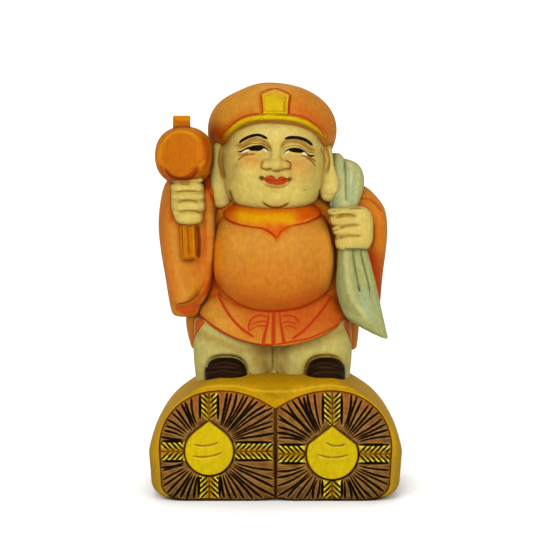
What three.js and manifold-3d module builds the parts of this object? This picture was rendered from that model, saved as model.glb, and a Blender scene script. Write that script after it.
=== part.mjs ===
// A small carved and painted wooden Daikoku, the god of luck. He stands on two rice bales, holds a
// mallet up in his right hand and, in his left, the neck of a sack that hangs down his back.
// Figure and bales are carved from one block. Millimetres, +Z up, the front faces -Y, and the
// origin is the centre of the flat underside.
import * as THREE from "three";
import { mergeVertices } from "three/addons/utils/BufferGeometryUtils.js";
import Module from "manifold-3d";

const wasm = await Module();
wasm.setup();

const { sin, cos, exp, PI, abs, sign, hypot, min, max } = Math;
const lerp = THREE.MathUtils.lerp;
const degrees = THREE.MathUtils.degToRad;
const vector = (x, y, z) => new THREE.Vector3(x, y, z);

// Driving dimensions of the rice bales
const baleLength = 46; // from the front end faces to the back ones
const baleWidth = 34; // from the seam to the outer edge of an end face
const baleHeight = 32.6; // underside to the crest of an end face
const baleSpring = 15; // height at which the side of an end face starts to curve inwards
const waistSpring = 13; // the same at the waist
const baleBulge = 3.1; // how far the waist of the bales stands out sideways beyond the end faces
const baleRise = 3; // how far the waist rises above the crest of the end faces
const backDrop = 2; // how far the crest falls from the waist to the back end faces
const valleyDepth = 5.3; // dip of the end faces between the two crests
const saddleDepth = 0.3; // the same dip at the waist, where the feet stand
const seamNotch = 0.7; // hollow under the seam
const cornerWidth = 9; // rounded lower outer corners
const cornerHeight = 5.5;
const sideTaper = 0.6; // how far the sides lean in towards the underside

// Driving dimensions of the carving on the end faces
const jewelSlope = degrees(38); // lean of the jewel's straight upper sides from level
const jewelRelief = 0.7;
const jewels = [
  { x: -19.2, z: 14.6, radius: 7.05, point: 9 }, // point: from the jewel's centre to its tip
  { x: 16.4, z: 13.8, radius: 7.45, point: 8.3 },
];
const strawPitch = 2.6; // spacing of the straw cuts, measured half way out
const strawWidth = 0.9;
const strawDepth = 0.7;
const strawMargin = 1.2; // plain wood left between a cut and the edge
const earWidth = 4.6; // band of each ear of rice
const earPitch = 2.8; // spacing of its grains

// Driving dimension of the figure. Its carving is given as on a figure 85 mm tall from the soles to
// the crown, with heights above the soles, and is scaled to this height.
const figureHeight = 85;
const soleSink = 0.6; // depth of the soles in the crest of the bales

const standHeight = baleHeight + baleRise - soleSink;
const figureScale = figureHeight / 85;
const figureFrame = new THREE.Matrix4()
  .makeScale(figureScale, figureScale, figureScale)
  .setPosition(0, 0, standHeight);

// Solids: a closed geometry becomes a manifold solid with its faces pointing out
function solid(geometry, frame = figureFrame) {
  const bare = geometry.clone();
  bare.deleteAttribute("normal");
  bare.deleteAttribute("uv");
  bare.applyMatrix4(frame);
  const merged = mergeVertices(bare, 1e-4);
  const triangles = new Uint32Array(merged.index.array);
  const build = () => new wasm.Manifold(new wasm.Mesh({
    numProp: 3,
    vertProperties: merged.attributes.position.array,
    triVerts: triangles,
  }));
  const made = build();
  if (made.volume() > 0) return made;
  for (let i = 0; i < triangles.length; i += 3) {
    [triangles[i + 1], triangles[i + 2]] = [triangles[i + 2], triangles[i + 1]];
  }
  return build();
}

function join(solids) {
  return solids.reduce((whole, piece) => whole.add(piece));
}

function geometryOf(whole) {
  const { numProp, vertProperties, triVerts } = whole.getMesh();
  const count = vertProperties.length / numProp;
  const positions = new Float32Array(count * 3);
  for (let i = 0; i < count; i++) {
    positions.set(vertProperties.subarray(i * numProp, i * numProp + 3), i * 3);
  }
  const geometry = new THREE.BufferGeometry();
  geometry.setAttribute("position", new THREE.BufferAttribute(positions, 3));
  geometry.setIndex(new THREE.BufferAttribute(new Uint32Array(triVerts), 1));
  return geometry;
}

// Shapes: a loft skins rings of equal count and closes both ends with a fan
function loft(rings) {
  const sides = rings[0].length;
  const points = rings.flat();
  const index = [];
  rings.slice(1).forEach((_, row) => {
    for (let i = 0; i < sides; i++) {
      const a = row * sides + i;
      const b = row * sides + ((i + 1) % sides);
      index.push(a, b, b + sides, a, b + sides, a + sides);
    }
  });
  const closeEnd = (ring, start, flip) => {
    const middle = ring.reduce((sum, p) => sum.add(p), vector(0, 0, 0)).divideScalar(sides);
    const centre = points.push(middle) - 1;
    for (let i = 0; i < sides; i++) {
      const pair = [start + i, start + ((i + 1) % sides)];
      index.push(centre, ...(flip ? pair.reverse() : pair));
    }
  };
  closeEnd(rings[0], 0, true);
  closeEnd(rings.at(-1), (rings.length - 1) * sides, false);
  const geometry = new THREE.BufferGeometry().setFromPoints(points);
  geometry.setIndex(index);
  return geometry;
}

// The values of a table of stations at a place along it, by a Catmull-Rom spline through its rows
function between(stations, share) {
  const place = share * (stations.length - 1);
  const i = min(Math.floor(place), stations.length - 2);
  const t = place - i;
  const row = (n) => stations[max(0, min(stations.length - 1, n))];
  return stations[0].map((_, n) => {
    const [p, q, r, s] = [row(i - 1)[n], row(i)[n], row(i + 1)[n], row(i + 2)[n]];
    return q + 0.5 * t * (r - p + t * (2 * p - 5 * q + 4 * r - s + t * (3 * (q - r) + s - p)));
  });
}

const angles = (sides) => Array.from({ length: sides }, (_, i) => (2 * PI * i) / sides);
const steps = (rows) => Array.from({ length: rows + 1 }, (_, i) => i / rows);
const fuller = (value, power) => sign(value) * abs(value) ** (2 / power);

// An upright form: each station is [height, middle x, half width, front y, back y]
function column(stations, { sides = 20, rows = 8, power = 2.3 } = {}) {
  return loft(steps(rows).map((share) => {
    const [z, x, halfWidth, front, back] = between(stations, share);
    return angles(sides).map((a) => vector(
      x + halfWidth * fuller(cos(a), power),
      (front + back) / 2 + ((back - front) / 2) * fuller(sin(a), power),
      z,
    ));
  }));
}

// A form swept along a path: each station is [x, y, z, half width, half thickness]. The width lies
// as near as it can to the direction wide.
function strand(stations, { wide = vector(1, 0, 0), sides = 8, rows = 5 } = {}) {
  const path = new THREE.CatmullRomCurve3(stations.map(([x, y, z]) => vector(x, y, z)));
  return loft(steps(rows).map((share) => {
    const [, , , halfWidth, halfThickness] = between(stations, share);
    const centre = path.getPoint(share);
    const along = path.getTangent(share);
    const thick = along.clone().cross(wide).normalize();
    const across = thick.clone().cross(along).normalize();
    return angles(sides).map((a) => centre.clone()
      .addScaledVector(across, halfWidth * cos(a))
      .addScaledVector(thick, halfThickness * sin(a)));
  }));
}

// A rounded lump: power 2 is an ellipsoid and a higher power is squarer
function lump(centre, radii, { power = 2, turn = [0, 0, 0], sides = 8, rows = 5 } = {}) {
  const geometry = new THREE.SphereGeometry(1, sides, rows);
  const position = geometry.attributes.position;
  for (let i = 0; i < position.count; i++) {
    const p = vector(0, 0, 0).fromBufferAttribute(position, i);
    p.divideScalar((abs(p.x) ** power + abs(p.y) ** power + abs(p.z) ** power) ** (1 / power));
    position.setXYZ(i, p.x, p.y, p.z);
  }
  geometry.rotateX(PI / 2);
  geometry.scale(...radii);
  geometry.applyMatrix4(new THREE.Matrix4().makeRotationFromEuler(new THREE.Euler(...turn)));
  return geometry.translate(...centre);
}

// A slab seen from the front: its outline is in x and z, and it reaches from back to front
function slab(outline, front, back, { rounding = 0, curved = true } = {}) {
  const points = outline.map(([x, z]) => new THREE.Vector2(x, z));
  const shape = curved
    ? new THREE.Shape(new THREE.SplineCurve([...points, points[0]]).getPoints(points.length * 2))
    : new THREE.Shape(points);
  const geometry = new THREE.ExtrudeGeometry(shape, {
    depth: back - front - 2 * rounding,
    bevelEnabled: rounding > 0,
    bevelThickness: rounding,
    bevelSize: rounding,
    bevelOffset: -rounding,
    bevelSegments: 1,
  });
  return geometry.rotateX(PI / 2).translate(0, back - rounding, 0);
}

// Where the front of a solid is at x and z, found by looking along +Y, all on the drawn figure
function frontOf(whole) {
  const target = new THREE.Mesh(geometryOf(whole));
  const caster = new THREE.Raycaster();
  return (x, z) => {
    caster.set(vector(x, 0, z).applyMatrix4(figureFrame).setY(-1000), vector(0, 1, 0));
    return caster.intersectObject(target)[0].point.y / figureScale;
  };
}

// A boat-shaped cut of a V gouge from one point of an end face to another
function gougeCut([x0, z0], [x1, z1], faceY, width, depth) {
  const cut = new THREE.OctahedronGeometry(1);
  cut.scale(hypot(x1 - x0, z1 - z0) / 2, depth, width / 2);
  cut.rotateY(-Math.atan2(z1 - z0, x1 - x0));
  return cut.translate((x0 + x1) / 2, faceY, (z0 + z1) / 2);
}

// A curved V cut that follows the front of a solid; points are [x, z] on the drawn figure
function groove(points, frontY, { width, depth, rows = 3 }) {
  const curve = new THREE.SplineCurve(points.map(([x, z]) => new THREE.Vector2(x, z)));
  return loft(steps(rows).map((share) => {
    const { x, y: z } = curve.getPoint(share);
    const { x: tx, y: tz } = curve.getTangent(share);
    const taper = max(0.08, sin(PI * share) ** 0.5);
    const y = frontY(x, z);
    const half = (width / 2) * taper;
    return [
      vector(x - tz * half, y - 0.1, z + tx * half),
      vector(x, y + depth * taper, z),
      vector(x + tz * half, y - 0.1, z - tx * half),
      vector(x, y - 0.6, z),
    ];
  }));
}

// Outline of both bales at one station, from 0 at an end face to 1 at the waist, as [x, z]
function baleOutline(fullness) {
  const halfWidth = baleWidth + baleBulge * fullness;
  const crest = baleHeight + baleRise * fullness;
  const crestX = baleWidth * 0.46;
  const spring = lerp(baleSpring, waistSpring, fullness);
  const dip = lerp(valleyDepth, saddleDepth, fullness);
  const roundness = lerp(2.15, 1.52, fullness);
  const half = [[0, crest - dip]];
  for (const t of [0.35, 0.7]) half.push([crestX * t, crest - dip * (1 - t) ** 2]);
  for (const a of steps(6).map((t) => (t * PI) / 2)) {
    half.push([
      crestX + (halfWidth - crestX) * fuller(sin(a), roundness),
      spring + (crest - spring) * fuller(cos(a), roundness),
    ]);
  }
  for (const a of steps(3).map((t) => (t * PI) / 2)) {
    half.push([
      halfWidth - sideTaper - cornerWidth * (1 - fuller(cos(a), 2.4)),
      cornerHeight * (1 - fuller(sin(a), 2.4)),
    ]);
  }
  half.push([crestX / 3, 0]);
  half.push([0, seamNotch]);
  const mirrored = half.slice(1, -1).reverse().map(([x, z]) => [-x, z]);
  return [...half, ...mirrored];
}

function bales() {
  const places = [-1, -0.96, -0.8, 0, 0.8, 0.96, 1];
  return loft(places.map((place) => {
    const fullness = (1 - place ** 6) ** 0.5;
    return baleOutline(fullness).map(([x, z]) => vector(x, (place * baleLength) / 2, z));
  }));
}

// Distance from a jewel's centre to its edge in direction a, measured from straight up
function jewelReach({ radius, point }, a) {
  const turn = abs(a > PI ? a - 2 * PI : a);
  const sloping = (point * cos(jewelSlope)) / max(cos(jewelSlope - turn), 0.2);
  return turn < jewelSlope ? sloping : min(sloping, radius);
}

function jewelSolid(jewel, faceY, side) {
  const outline = angles(24).map((a) => [sin(a) * jewelReach(jewel, a), cos(a) * jewelReach(jewel, a)]);
  const ring = (out, y) => outline.map(([x, z]) => vector(jewel.x + x * out, y, jewel.z + z * out));
  return loft([ring(1, faceY - side), ring(0.95, faceY + side * jewelRelief)]);
}

// Distance from a jewel's centre to the border of the bale's end face in direction a
function borderReach(jewel, a) {
  const outline = baleOutline(0);
  const half = outline.filter(([x]) => x * sign(jewel.x) > -1e-9);
  const loop = jewel.x > 0 ? half : [half[0], ...half.slice(1).reverse()];
  let reach = Infinity;
  loop.forEach(([x0, z0], i) => {
    const [x1, z1] = loop[(i + 1) % loop.length];
    const [ux, uz] = [sin(a), cos(a)];
    const [ex, ez] = [x1 - x0, z1 - z0];
    const cross = ux * ez - uz * ex;
    if (abs(cross) < 1e-9) return;
    const [dx, dz] = [x0 - jewel.x, z0 - jewel.z];
    const along = (dx * ez - dz * ex) / cross;
    const share = (dx * uz - dz * ux) / cross;
    if (along > 0 && share >= 0 && share <= 1) reach = min(reach, along);
  });
  return reach;
}

// The straw of an end face: cuts that fan out from the jewel, closer together on the front, which
// has four ears of rice between them
function strawCuts(jewel, faceY, onFront) {
  const cuts = [];
  const middleRadius = (jewel.radius + baleWidth / 2) / 2;
  const pitch = onFront ? strawPitch : 2 * strawPitch;
  const count = 4 * Math.round((2 * PI * middleRadius) / (4 * pitch));
  const earAngle = onFront ? earWidth / 2 / middleRadius : 0;
  for (let i = 0; i < count; i++) {
    const a = (2 * PI * (i + 0.5)) / count;
    const fromEar = abs(((a + PI / 4) % (PI / 2)) - PI / 4);
    if (fromEar < earAngle) continue;
    const start = jewelReach(jewel, a) + strawMargin * (i % 2 ? 1 : 1.7);
    const end = borderReach(jewel, a) - strawMargin;
    const at = (r) => [jewel.x + sin(a) * r, jewel.z + cos(a) * r];
    if (end - start < 2 * strawWidth) continue;
    cuts.push(gougeCut(at(start), at(end), faceY, strawWidth, strawDepth));
  }
  if (!onFront) return cuts;
  for (const a of [0, PI / 2, PI, -PI / 2]) {
    const start = jewelReach(jewel, a < 0 ? a + 2 * PI : a) + 1.6;
    const end = borderReach(jewel, a) - 0.8;
    for (let r = start; r < end; r += earPitch) {
      for (const side of [-1, 1]) {
        const at = (along, across) => [
          jewel.x + sin(a) * along + cos(a) * across * side,
          jewel.z + cos(a) * along - sin(a) * across * side,
        ];
        cuts.push(gougeCut(at(r - 0.8, 0.3), at(r + 1.2, earWidth / 2), faceY, 0.9, 0.5));
      }
    }
  }
  return cuts;
}

function carvedBales() {
  const ground = new THREE.Matrix4();
  let whole = solid(bales(), ground);
  const cuts = [];
  for (const side of [-1, 1]) {
    const faceY = (side * baleLength) / 2;
    for (const jewel of jewels) cuts.push(...strawCuts(jewel, faceY, side < 0));
    cuts.push(gougeCut([0, seamNotch - 4], [0, baleHeight - valleyDepth + 4], faceY, 1.1, 1.2));
  }
  whole = whole.subtract(join(cuts.map((cut) => solid(cut, ground))));
  for (const side of [-1, 1]) {
    for (const jewel of jewels) {
      whole = whole.add(solid(jewelSolid(jewel, (side * baleLength) / 2, side), ground));
    }
  }
  return whole.warp((corner) => {
    const share = max(0, corner[1] / (baleLength / 2)) * (corner[2] / baleHeight);
    corner[2] -= backDrop * share ** 2;
  });
}

// Trousers with a cleft between the legs, and shoes under their hems
function legs() {
  const leg = (x, halfWidth) => column([
    [-5, x, halfWidth - 0.9, -10.6, 11.5],
    [-1, x, halfWidth - 0.5, -11.8, 12],
    [4, x, halfWidth, -12.6, 12.5],
    [9, x, halfWidth + 0.1, -12.2, 12.5],
    [16, x, halfWidth - 0.4, -10, 12],
  ], { sides: 16, rows: 4, power: 3 });
  const cleft = column([
    [-5, -0.3, 2.4, -7.6, 8],
    [4, -0.3, 2.4, -9.2, 8],
    [16, -0.3, 2.4, -7.6, 8],
  ], { sides: 8, rows: 2, power: 3 });
  return [leg(-12.3, 11.9), leg(11.1, 11.4), cleft].map((g) => solid(g));
}

const shoes = [{ x: -14.5, halfWidth: 6.2 }, { x: 14.6, halfWidth: 5.8 }];

function shoeOpenings() {
  return shoes.map(({ x, halfWidth }) => solid(
    lump([x, -15, 0.3], [halfWidth + 0.6, 6.5, 6.3], { power: 2.6, sides: 12, rows: 6 }),
  ));
}

function shoeUppers() {
  return shoes.map(({ x, halfWidth }) => {
    const upper = solid(lump([x, -11, 0.3], [halfWidth, 6.8, 5.3], { power: 2.5, sides: 12, rows: 6 }));
    const ridges = [2.4, 3.7].map((z) => solid(gougeCut(
      [x - halfWidth, z], [x + halfWidth, z], -17.6, 0.8, 1.4,
    )));
    return upper.subtract(join(ridges));
  });
}

// The robe: its trunk, the tail that shows beside the legs, and the short front, whose hem hangs
// lowest in the middle
function robeCore() {
  return solid(column([
    [6, -0.4, 18, -8, 12],
    [14, -0.4, 21, -9.5, 14],
    [30, -0.4, 21.2, -9, 15.5],
    [46, -0.4, 20, -7.5, 14.5],
    [51, -0.4, 16.5, -6, 12],
    [54.5, -0.4, 11, -4, 9],
  ], { sides: 14, rows: 5, power: 2.5 }));
}

function robeTail() {
  return solid(column([
    [5.4, -0.3, 24, -1, 15.2],
    [7, -0.5, 24.6, -2, 15.8],
    [14, -0.9, 25.5, -4, 16],
    [22, -0.8, 24.8, -5, 16],
    [28, -0.6, 21, -5, 15],
  ], { sides: 18, rows: 4, power: 2.8 }));
}

function robeFront() {
  const top = 26;
  const hem = (x) => 9.2 + 6.8 * (x / 21.5) ** 2;
  const stations = [
    [0, 17.5, -9],
    [0.35, 19.6, -11.6],
    [0.7, 21.4, -14.2],
    [0.95, 22, -15.6],
    [1, 21.6, -15.2],
  ];
  return solid(loft(steps(4).map((share) => {
    const [down, halfWidth, front] = between(stations, share);
    return angles(22).map((a) => {
      const x = halfWidth * fuller(cos(a), 2.4);
      const y = sin(a) < 0 ? -front * fuller(sin(a), 2.4) : 9 * sin(a);
      return vector(x - 0.6, y, lerp(top, hem(x), down));
    });
  })));
}

const belly = { centre: [-0.6, -2.2, 34], radii: [18.3, 16.3, 17.5], power: 2.45 };

function bellyLump(extra = 0, detail = { sides: 18, rows: 11 }) {
  const radii = belly.radii.map((r) => r + extra);
  return solid(lump(belly.centre, radii, { power: belly.power, ...detail }));
}

function collar() {
  const outline = [
    [-15.9, 48.4], [-12.3, 45.4], [-8.9, 44.1], [-3.4, 43.2], [0.1, 40.6], [3.4, 43.2],
    [8.6, 45], [13.6, 47.4], [12, 52], [0, 53], [-14, 52],
  ];
  const prism = solid(slab(outline, -30, -2, { curved: false }));
  return prism.intersect(bellyLump(0.7));
}

function sleeves() {
  const raised = column([
    [16.2, -26.6, 2.6, -3, 3],
    [18, -26.4, 4.5, -5.2, 6.6],
    [28, -26.3, 6.4, -6.4, 10],
    [36, -26.3, 7.6, -6.4, 11],
    [43, -26.4, 8.1, -6.4, 11],
    [50, -26.6, 7.1, -6, 10],
    [55.5, -26.9, 5.3, -5, 8],
    [58.5, -26.5, 3, -3, 5],
  ], { sides: 13, rows: 6, power: 2.5 });
  const raisedFront = slab([
    [-30.4, 55], [-32.5, 48.5], [-33.1, 42], [-32.3, 32], [-30.6, 23.6], [-28.6, 20.4],
    [-25.2, 21.6], [-22.2, 25.6], [-20.9, 31], [-20.6, 42], [-21, 53], [-25, 57],
  ], -9.4, -2, { rounding: 1.3 });
  const lowered = column([
    [17, 26.8, 2.8, -3.5, 3.5],
    [19, 26.4, 4.4, -5, 6],
    [28, 25.5, 6.2, -6, 9],
    [36, 25.3, 7.3, -6.5, 10.5],
    [42, 25.3, 7.5, -6.5, 11],
    [47.5, 24.8, 7.3, -6, 10.5],
    [51.2, 23.6, 6.2, -5, 9.5],
    [54.4, 21.6, 4.9, -3, 8],
    [56.5, 18, 3, -1, 6],
  ], { sides: 13, rows: 7, power: 2.4 });
  const shoulder = lump([-19.6, 0, 51], [3.2, 6, 8.4]);
  const fold = strand([
    [-19.8, -5.4, 53, 1.7, 3],
    [-19.7, -6.4, 46, 2, 3.6],
    [-19.6, -6.8, 38, 2.2, 3.8],
    [-20, -6.4, 31, 2.1, 3.4],
    [-21, -5.6, 25, 1.6, 2.6],
  ], { sides: 5, rows: 4 });
  return [raised, raisedFront, lowered, shoulder, fold].map((g) => solid(g));
}

// Relief of the face, as smooth swellings: [x, z, half width, half height, rise]
const faceRelief = [
  [-8, 59.6, 5, 4.6, 1.7],
  [7.4, 59.4, 5, 4.6, 1.7],
  [-6.2, 68.4, 5, 1.7, 0.7],
  [6.2, 67.8, 5, 1.7, 0.7],
  [-6.3, 65.4, 3.8, 1.2, -0.9],
  [6.4, 64.8, 3.8, 1.2, -0.9],
  [0, 65.5, 1.6, 3.6, 1.5],
  [0, 51.6, 4.2, 2.4, 1.2],
  [-4.9, 57.8, 1.2, 1.2, -0.8],
  [4.7, 57.6, 1.2, 1.2, -0.8],
];

function head() {
  const stations = [
    [47.6, -0.4, 5, -10, 2],
    [50.2, -0.5, 11.6, -15, 9],
    [53.2, -0.6, 14, -16, 12],
    [57.5, -0.6, 15.1, -15.9, 14],
    [62.5, -0.6, 15.1, -15.6, 15],
    [67.5, -0.5, 14.8, -15.4, 15],
    [72.5, -0.4, 14.1, -14.9, 14],
    [78, 0, 9, -10, 10],
  ];
  const rise = (x, z) => faceRelief.reduce((sum, [cx, cz, halfWidth, halfHeight, height]) => (
    sum + height * exp(-(((x - cx) / halfWidth) ** 2) - ((z - cz) / halfHeight) ** 2)
  ), 0);
  const closerInFront = (t) => (2 * t + 0.5) * PI + 0.45 * sin(2 * PI * t);
  const skull = loft(steps(15).map((share) => {
    const [z, middle, halfWidth, front, back] = between(stations, share);
    return steps(24).slice(1).map((t) => {
      const a = closerInFront(t);
      const x = middle + halfWidth * fuller(cos(a), 2.35);
      const y = (front + back) / 2 + ((back - front) / 2) * fuller(sin(a), 2.35);
      return vector(x, y - max(0, -sin(a)) * rise(x, z), z);
    });
  }));
  const features = [
    lump([0, -16.4, 62.1], [2.4, 2.4, 2.1]),
    lump([-2.7, -15.8, 61.7], [1.8, 1.9, 1.5]),
    lump([2.7, -15.8, 61.7], [1.8, 1.9, 1.5]),
    lump([0, -16, 58.2], [3.9, 1.3, 0.9]),
    lump([0, -16, 57.1], [2.9, 1.4, 0.9]),
  ];
  return [skull, ...features].map((g) => solid(g));
}

// Long ears with heavy lobes
function ears() {
  const ear = (shell, hollow) => solid(strand(shell)).subtract(solid(lump(...hollow)));
  return [
    ear([
      [-15.6, -1.6, 68, 1.5, 1],
      [-16.6, -2.4, 65, 2, 1.8],
      [-17, -3, 59.5, 2.2, 2.2],
      [-16.3, -3.8, 54.4, 3.1, 2.9],
      [-15.7, -4, 51, 2.9, 2.5],
      [-15.5, -3.8, 48.9, 1.7, 1.6],
    ], [[-16.5, -5.6, 62.4], [1.1, 1.6, 4.4]]),
    ear([
      [14.4, -1.6, 68, 1.3, 1],
      [15, -2.4, 65.4, 1.6, 1.8],
      [15.4, -3.6, 60.6, 1.9, 2.2],
      [15.9, -4.8, 56.6, 2.4, 2.6],
      [16.5, -5.8, 53, 3.1, 2.7],
      [16.2, -6, 50.2, 1.8, 1.7],
    ], [[15.2, -5.6, 62.8], [1, 1.6, 4.4]]),
  ];
}

const hatTilt = degrees(29);
const hatRoll = degrees(6.5);
const hatCentre = [-1, 2, 71];
const hatRadii = [19.1, 20, 11.7];
const hatLean = 0.085; // sideways slope of the crown's axis
const hatDent = { x: -12, width: 5, depth: 0.8 }; // the crown is a little lower on this side
const brimDrop = 5.3; // brim below the hat's centre, along its tilted axis, at the sides and the back
const brimArch = [ // the same over the brow, as [x, drop]
  [-30, 5.1], [-17.5, 5.3], [-15.6, 6.4], [-13.7, 7.1], [-12, 6.2], [-9.8, 5.6], [-6.5, 5.1], [-3, 5],
  [1, 5.25], [5, 5.5], [8.5, 5.9], [11.5, 6.4], [13.9, 7], [16, 6.2], [30, 5.3],
];
const trimPath = [ // gold trim on the brow, as [x, z] seen from the front
  [-14.6, 69.2], [-12.6, 72], [-9.9, 74.2], [-7.4, 75.3], [-4.2, 75.8], [-0.2, 75.9], [3.8, 75.5],
  [7, 74.8], [9.8, 73.5], [12.3, 71.6], [14.2, 69.8],
];

function hatLump(extra) {
  const radii = hatRadii.map((r) => r + extra);
  const crown = lump([0, 0, 0], radii, { power: 2.1, turn: [-hatTilt, hatRoll, 0], sides: 19, rows: 11 });
  crown.applyMatrix4(new THREE.Matrix4().makeShear(0, 0, 0, 0, hatLean, 0));
  const position = crown.attributes.position;
  for (let i = 0; i < position.count; i++) {
    const aside = (position.getX(i) + hatCentre[0] - hatDent.x) / hatDent.width;
    const share = min(1, max(0, position.getZ(i) / 6));
    position.setZ(i, position.getZ(i) - hatDent.depth * share * exp(-(aside ** 2)));
  }
  return solid(crown.translate(...hatCentre));
}

// The room under the hat: arched over the brow in front, and flat from the ears back
function underHat() {
  const places = [[-30, 1], [-6, 1], [5, 0], [30, 0]]; // [y, share of the arch]
  return loft(places.map(([y, arch]) => {
    const edge = brimArch.map(([x, drop]) => vector(x - hatCentre[0], y, -lerp(brimDrop, drop, arch)));
    return [...edge, vector(31, y, -40), vector(-29, y, -40)];
  })).rotateX(-hatTilt).translate(...hatCentre);
}

function hat() {
  const whole = hatLump(0);
  const frontY = frontOf(whole);
  const last = trimPath.length - 1;
  const trim = strand(trimPath.map(([x, z], i) => {
    const fullness = min(1, 0.45 + 0.2 * min(i, last - i));
    return [x, frontY(x, z), z, 0.62 * fullness, 0.75 * fullness];
  }), { wide: vector(0, sin(hatTilt), cos(hatTilt)), sides: 4, rows: 10 });
  const plaqueOutline = (inset) => [
    [-3.9 + inset, 76.6 + inset], [-4.3 + inset, 82.2 - inset * 0.6], [-0.2, 83.7 - inset],
    [4 - inset, 82.2 - inset * 0.6], [3.6 - inset, 76.6 + inset],
  ];
  const plaque = solid(slab(plaqueOutline(0), -30, -5, { curved: false }))
    .intersect(hatLump(0.8))
    .subtract(solid(slab(plaqueOutline(0.8), -30, -5, { curved: false }))
      .subtract(hatLump(0.4)));
  return [
    whole.subtract(solid(underHat())),
    solid(trim),
    plaque,
  ];
}

// A fist: fingers one above the other, from [height of the groove below, left x, right x], lowest
// first, on a palm
function fist(fingers, top, front, palm) {
  const knuckles = fingers.map(([low, left, right], i) => {
    const high = i + 1 < fingers.length ? fingers[i + 1][0] : top;
    return lump(
      [(left + right) / 2, front + 3.3, (low + high) / 2],
      [(right - left) / 2, 3.3, (high - low) / 2 + 0.3],
      { power: 2.6 },
    );
  });
  return [lump(...palm, { power: 3, sides: 8, rows: 6 }), ...knuckles].map((g) => solid(g));
}

function raisedFist() {
  return fist([
    [44.7, -29.2, -21.2],
    [48.2, -30, -20.3],
    [51.4, -30.2, -20.6],
    [53.8, -30.4, -20.8],
    [56.6, -30.4, -21],
  ], 58.3, -14.2, [[-25.6, -8.6, 51.2], [4.8, 4.6, 7]]);
}

function mallet() {
  const length = 16;
  const profile = [[-1, 5.4], [-0.86, 7.2], [-0.5, 8.2], [0, 8.55], [0.5, 8.2], [0.86, 7.2], [1, 5.4]];
  const barrel = loft(profile.map(([end, r]) => angles(18).map((a) => vector(
    r * fuller(cos(a), 2.25),
    (end * length) / 2,
    r * fuller(sin(a), 2.25),
  ))));
  barrel.rotateX(degrees(-5.5)).rotateZ(degrees(-4)).translate(-26.5, -7, 64.1);
  const handleTop = vector(-27.4, -8, 72);
  const handleEnd = vector(-25.2, -11, 34);
  const along = handleTop.clone().sub(handleEnd);
  const lean = new THREE.Quaternion().setFromUnitVectors(vector(0, 0, 1), along.clone().normalize());
  const handle = new THREE.BoxGeometry(3.7, 3.6, along.length());
  handle.applyQuaternion(lean);
  handle.translate(...handleTop.clone().add(handleEnd).divideScalar(2));
  const peg = new THREE.BoxGeometry(5, 4.6, 5).translate(-27.3, -8, 73.3);
  return [barrel, handle, peg].map((g) => solid(g));
}

function loweredFist() {
  return fist([
    [37, 17.3, 26.6],
    [41.3, 16.4, 26],
    [44.2, 15.5, 25.4],
    [47.2, 15.1, 25],
  ], 49.1, -14.6, [[23, -9.6, 43], [5.5, 4.9, 6.6]]);
}

// The sack: the gathered cloth that hangs from the fist to a point, and the neck that goes back
// over the shoulder to the full part on the back
function sack() {
  const mouth = column([
    [10.6, 32.4, 0.7, -9.6, -7],
    [12.9, 29.7, 2.8, -11.4, -6],
    [16, 26.8, 5, -13.2, -5.4],
    [19, 25.3, 5.8, -14, -5.2],
    [25.9, 23.65, 5.95, -14.4, -5],
    [33.7, 22.85, 4.75, -13.6, -6],
    [41, 22, 3.6, -12, -7],
  ], { sides: 12, rows: 6, power: 2.2 });
  const neck = strand([
    [20.4, -9.4, 45, 3.2, 2.4],
    [20.4, -8, 50, 3.7, 2.8],
    [21.2, -4, 55.6, 4.8, 3.2],
    [20.4, 2.5, 59, 5, 3.3],
    [16, 10, 57.5, 7.5, 4.5],
    [11, 15, 50, 10, 6],
    [7, 16.5, 40, 13.5, 7.5],
    [5, 16, 28, 13, 7.5],
    [4.5, 14.5, 20, 7, 5],
  ], { sides: 14, rows: 8 });
  const fold = strand([
    [17.6, -6, 50, 1.8, 2],
    [18.4, -3, 58.3, 2.1, 2.4],
    [18.1, 2.5, 62, 2.1, 2.4],
    [15, 9, 60, 2.1, 2.4],
  ], { sides: 6, rows: 4 });
  return [mouth, neck, fold].map((g) => solid(g));
}

// Lines cut into the front of the robe, the face and the hands
function lineCuts(whole) {
  const frontY = frontOf(whole);
  const robe = { width: 0.9, depth: 0.6 };
  const strip = { width: 1.1, depth: 0.7, rows: 2 };
  const fine = { width: 0.6, depth: 0.4, rows: 3 };
  const fold = { width: 1.3, depth: 0.9 };
  const lines = [
    [[[-16.4, 23], [-14, 18.6], [-10.6, 14.6], [-6, 11.6]], robe],
    [[[15.8, 22.4], [13.4, 17.6], [10, 14.2], [5, 11.6]], robe],
    [[[-1.2, 19.2], [-2.2, 14.6], [-3, 10.6]], strip],
    [[[-0.4, 19.2], [-0.5, 14.6], [-0.6, 10.4]], strip],
    [[[0.9, 19.2], [1.4, 14.6], [2, 10.6]], strip],
    [[[-1.8, 18.6], [-4.2, 18.6], [-6.2, 17.6], [-7.4, 15]], fine],
    [[[1.6, 18.6], [3.8, 18.6], [5.6, 17.8], [6.4, 16.4]], fine],
    [[[-3.6, 50.8], [-0.2, 49.6], [3.6, 50.7]], fine],
    [[[22.6, 36.4], [23.2, 30], [25.4, 22], [28.6, 14.6]], fold],
    [[[24.8, 36.2], [26.6, 28.6], [28.6, 21], [30.2, 14.4]], fold],
    [[[22.4, 58], [22.2, 54.5], [22, 50.6]], fold],
  ];
  return lines.map(([points, size]) => solid(groove(points, frontY, size)));
}

function daikoku() {
  const whole = join([
    carvedBales(),
    join(legs()).subtract(join(shoeOpenings())),
    ...shoeUppers(),
    robeTail(),
    robeFront(),
    robeCore(),
    ...sleeves(),
    bellyLump(),
    collar(),
    ...head(),
    ...ears(),
    ...hat(),
    ...raisedFist(),
    ...mallet(),
    ...loweredFist(),
    ...sack(),
  ]);
  return whole.subtract(join(lineCuts(whole)));
}

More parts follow.
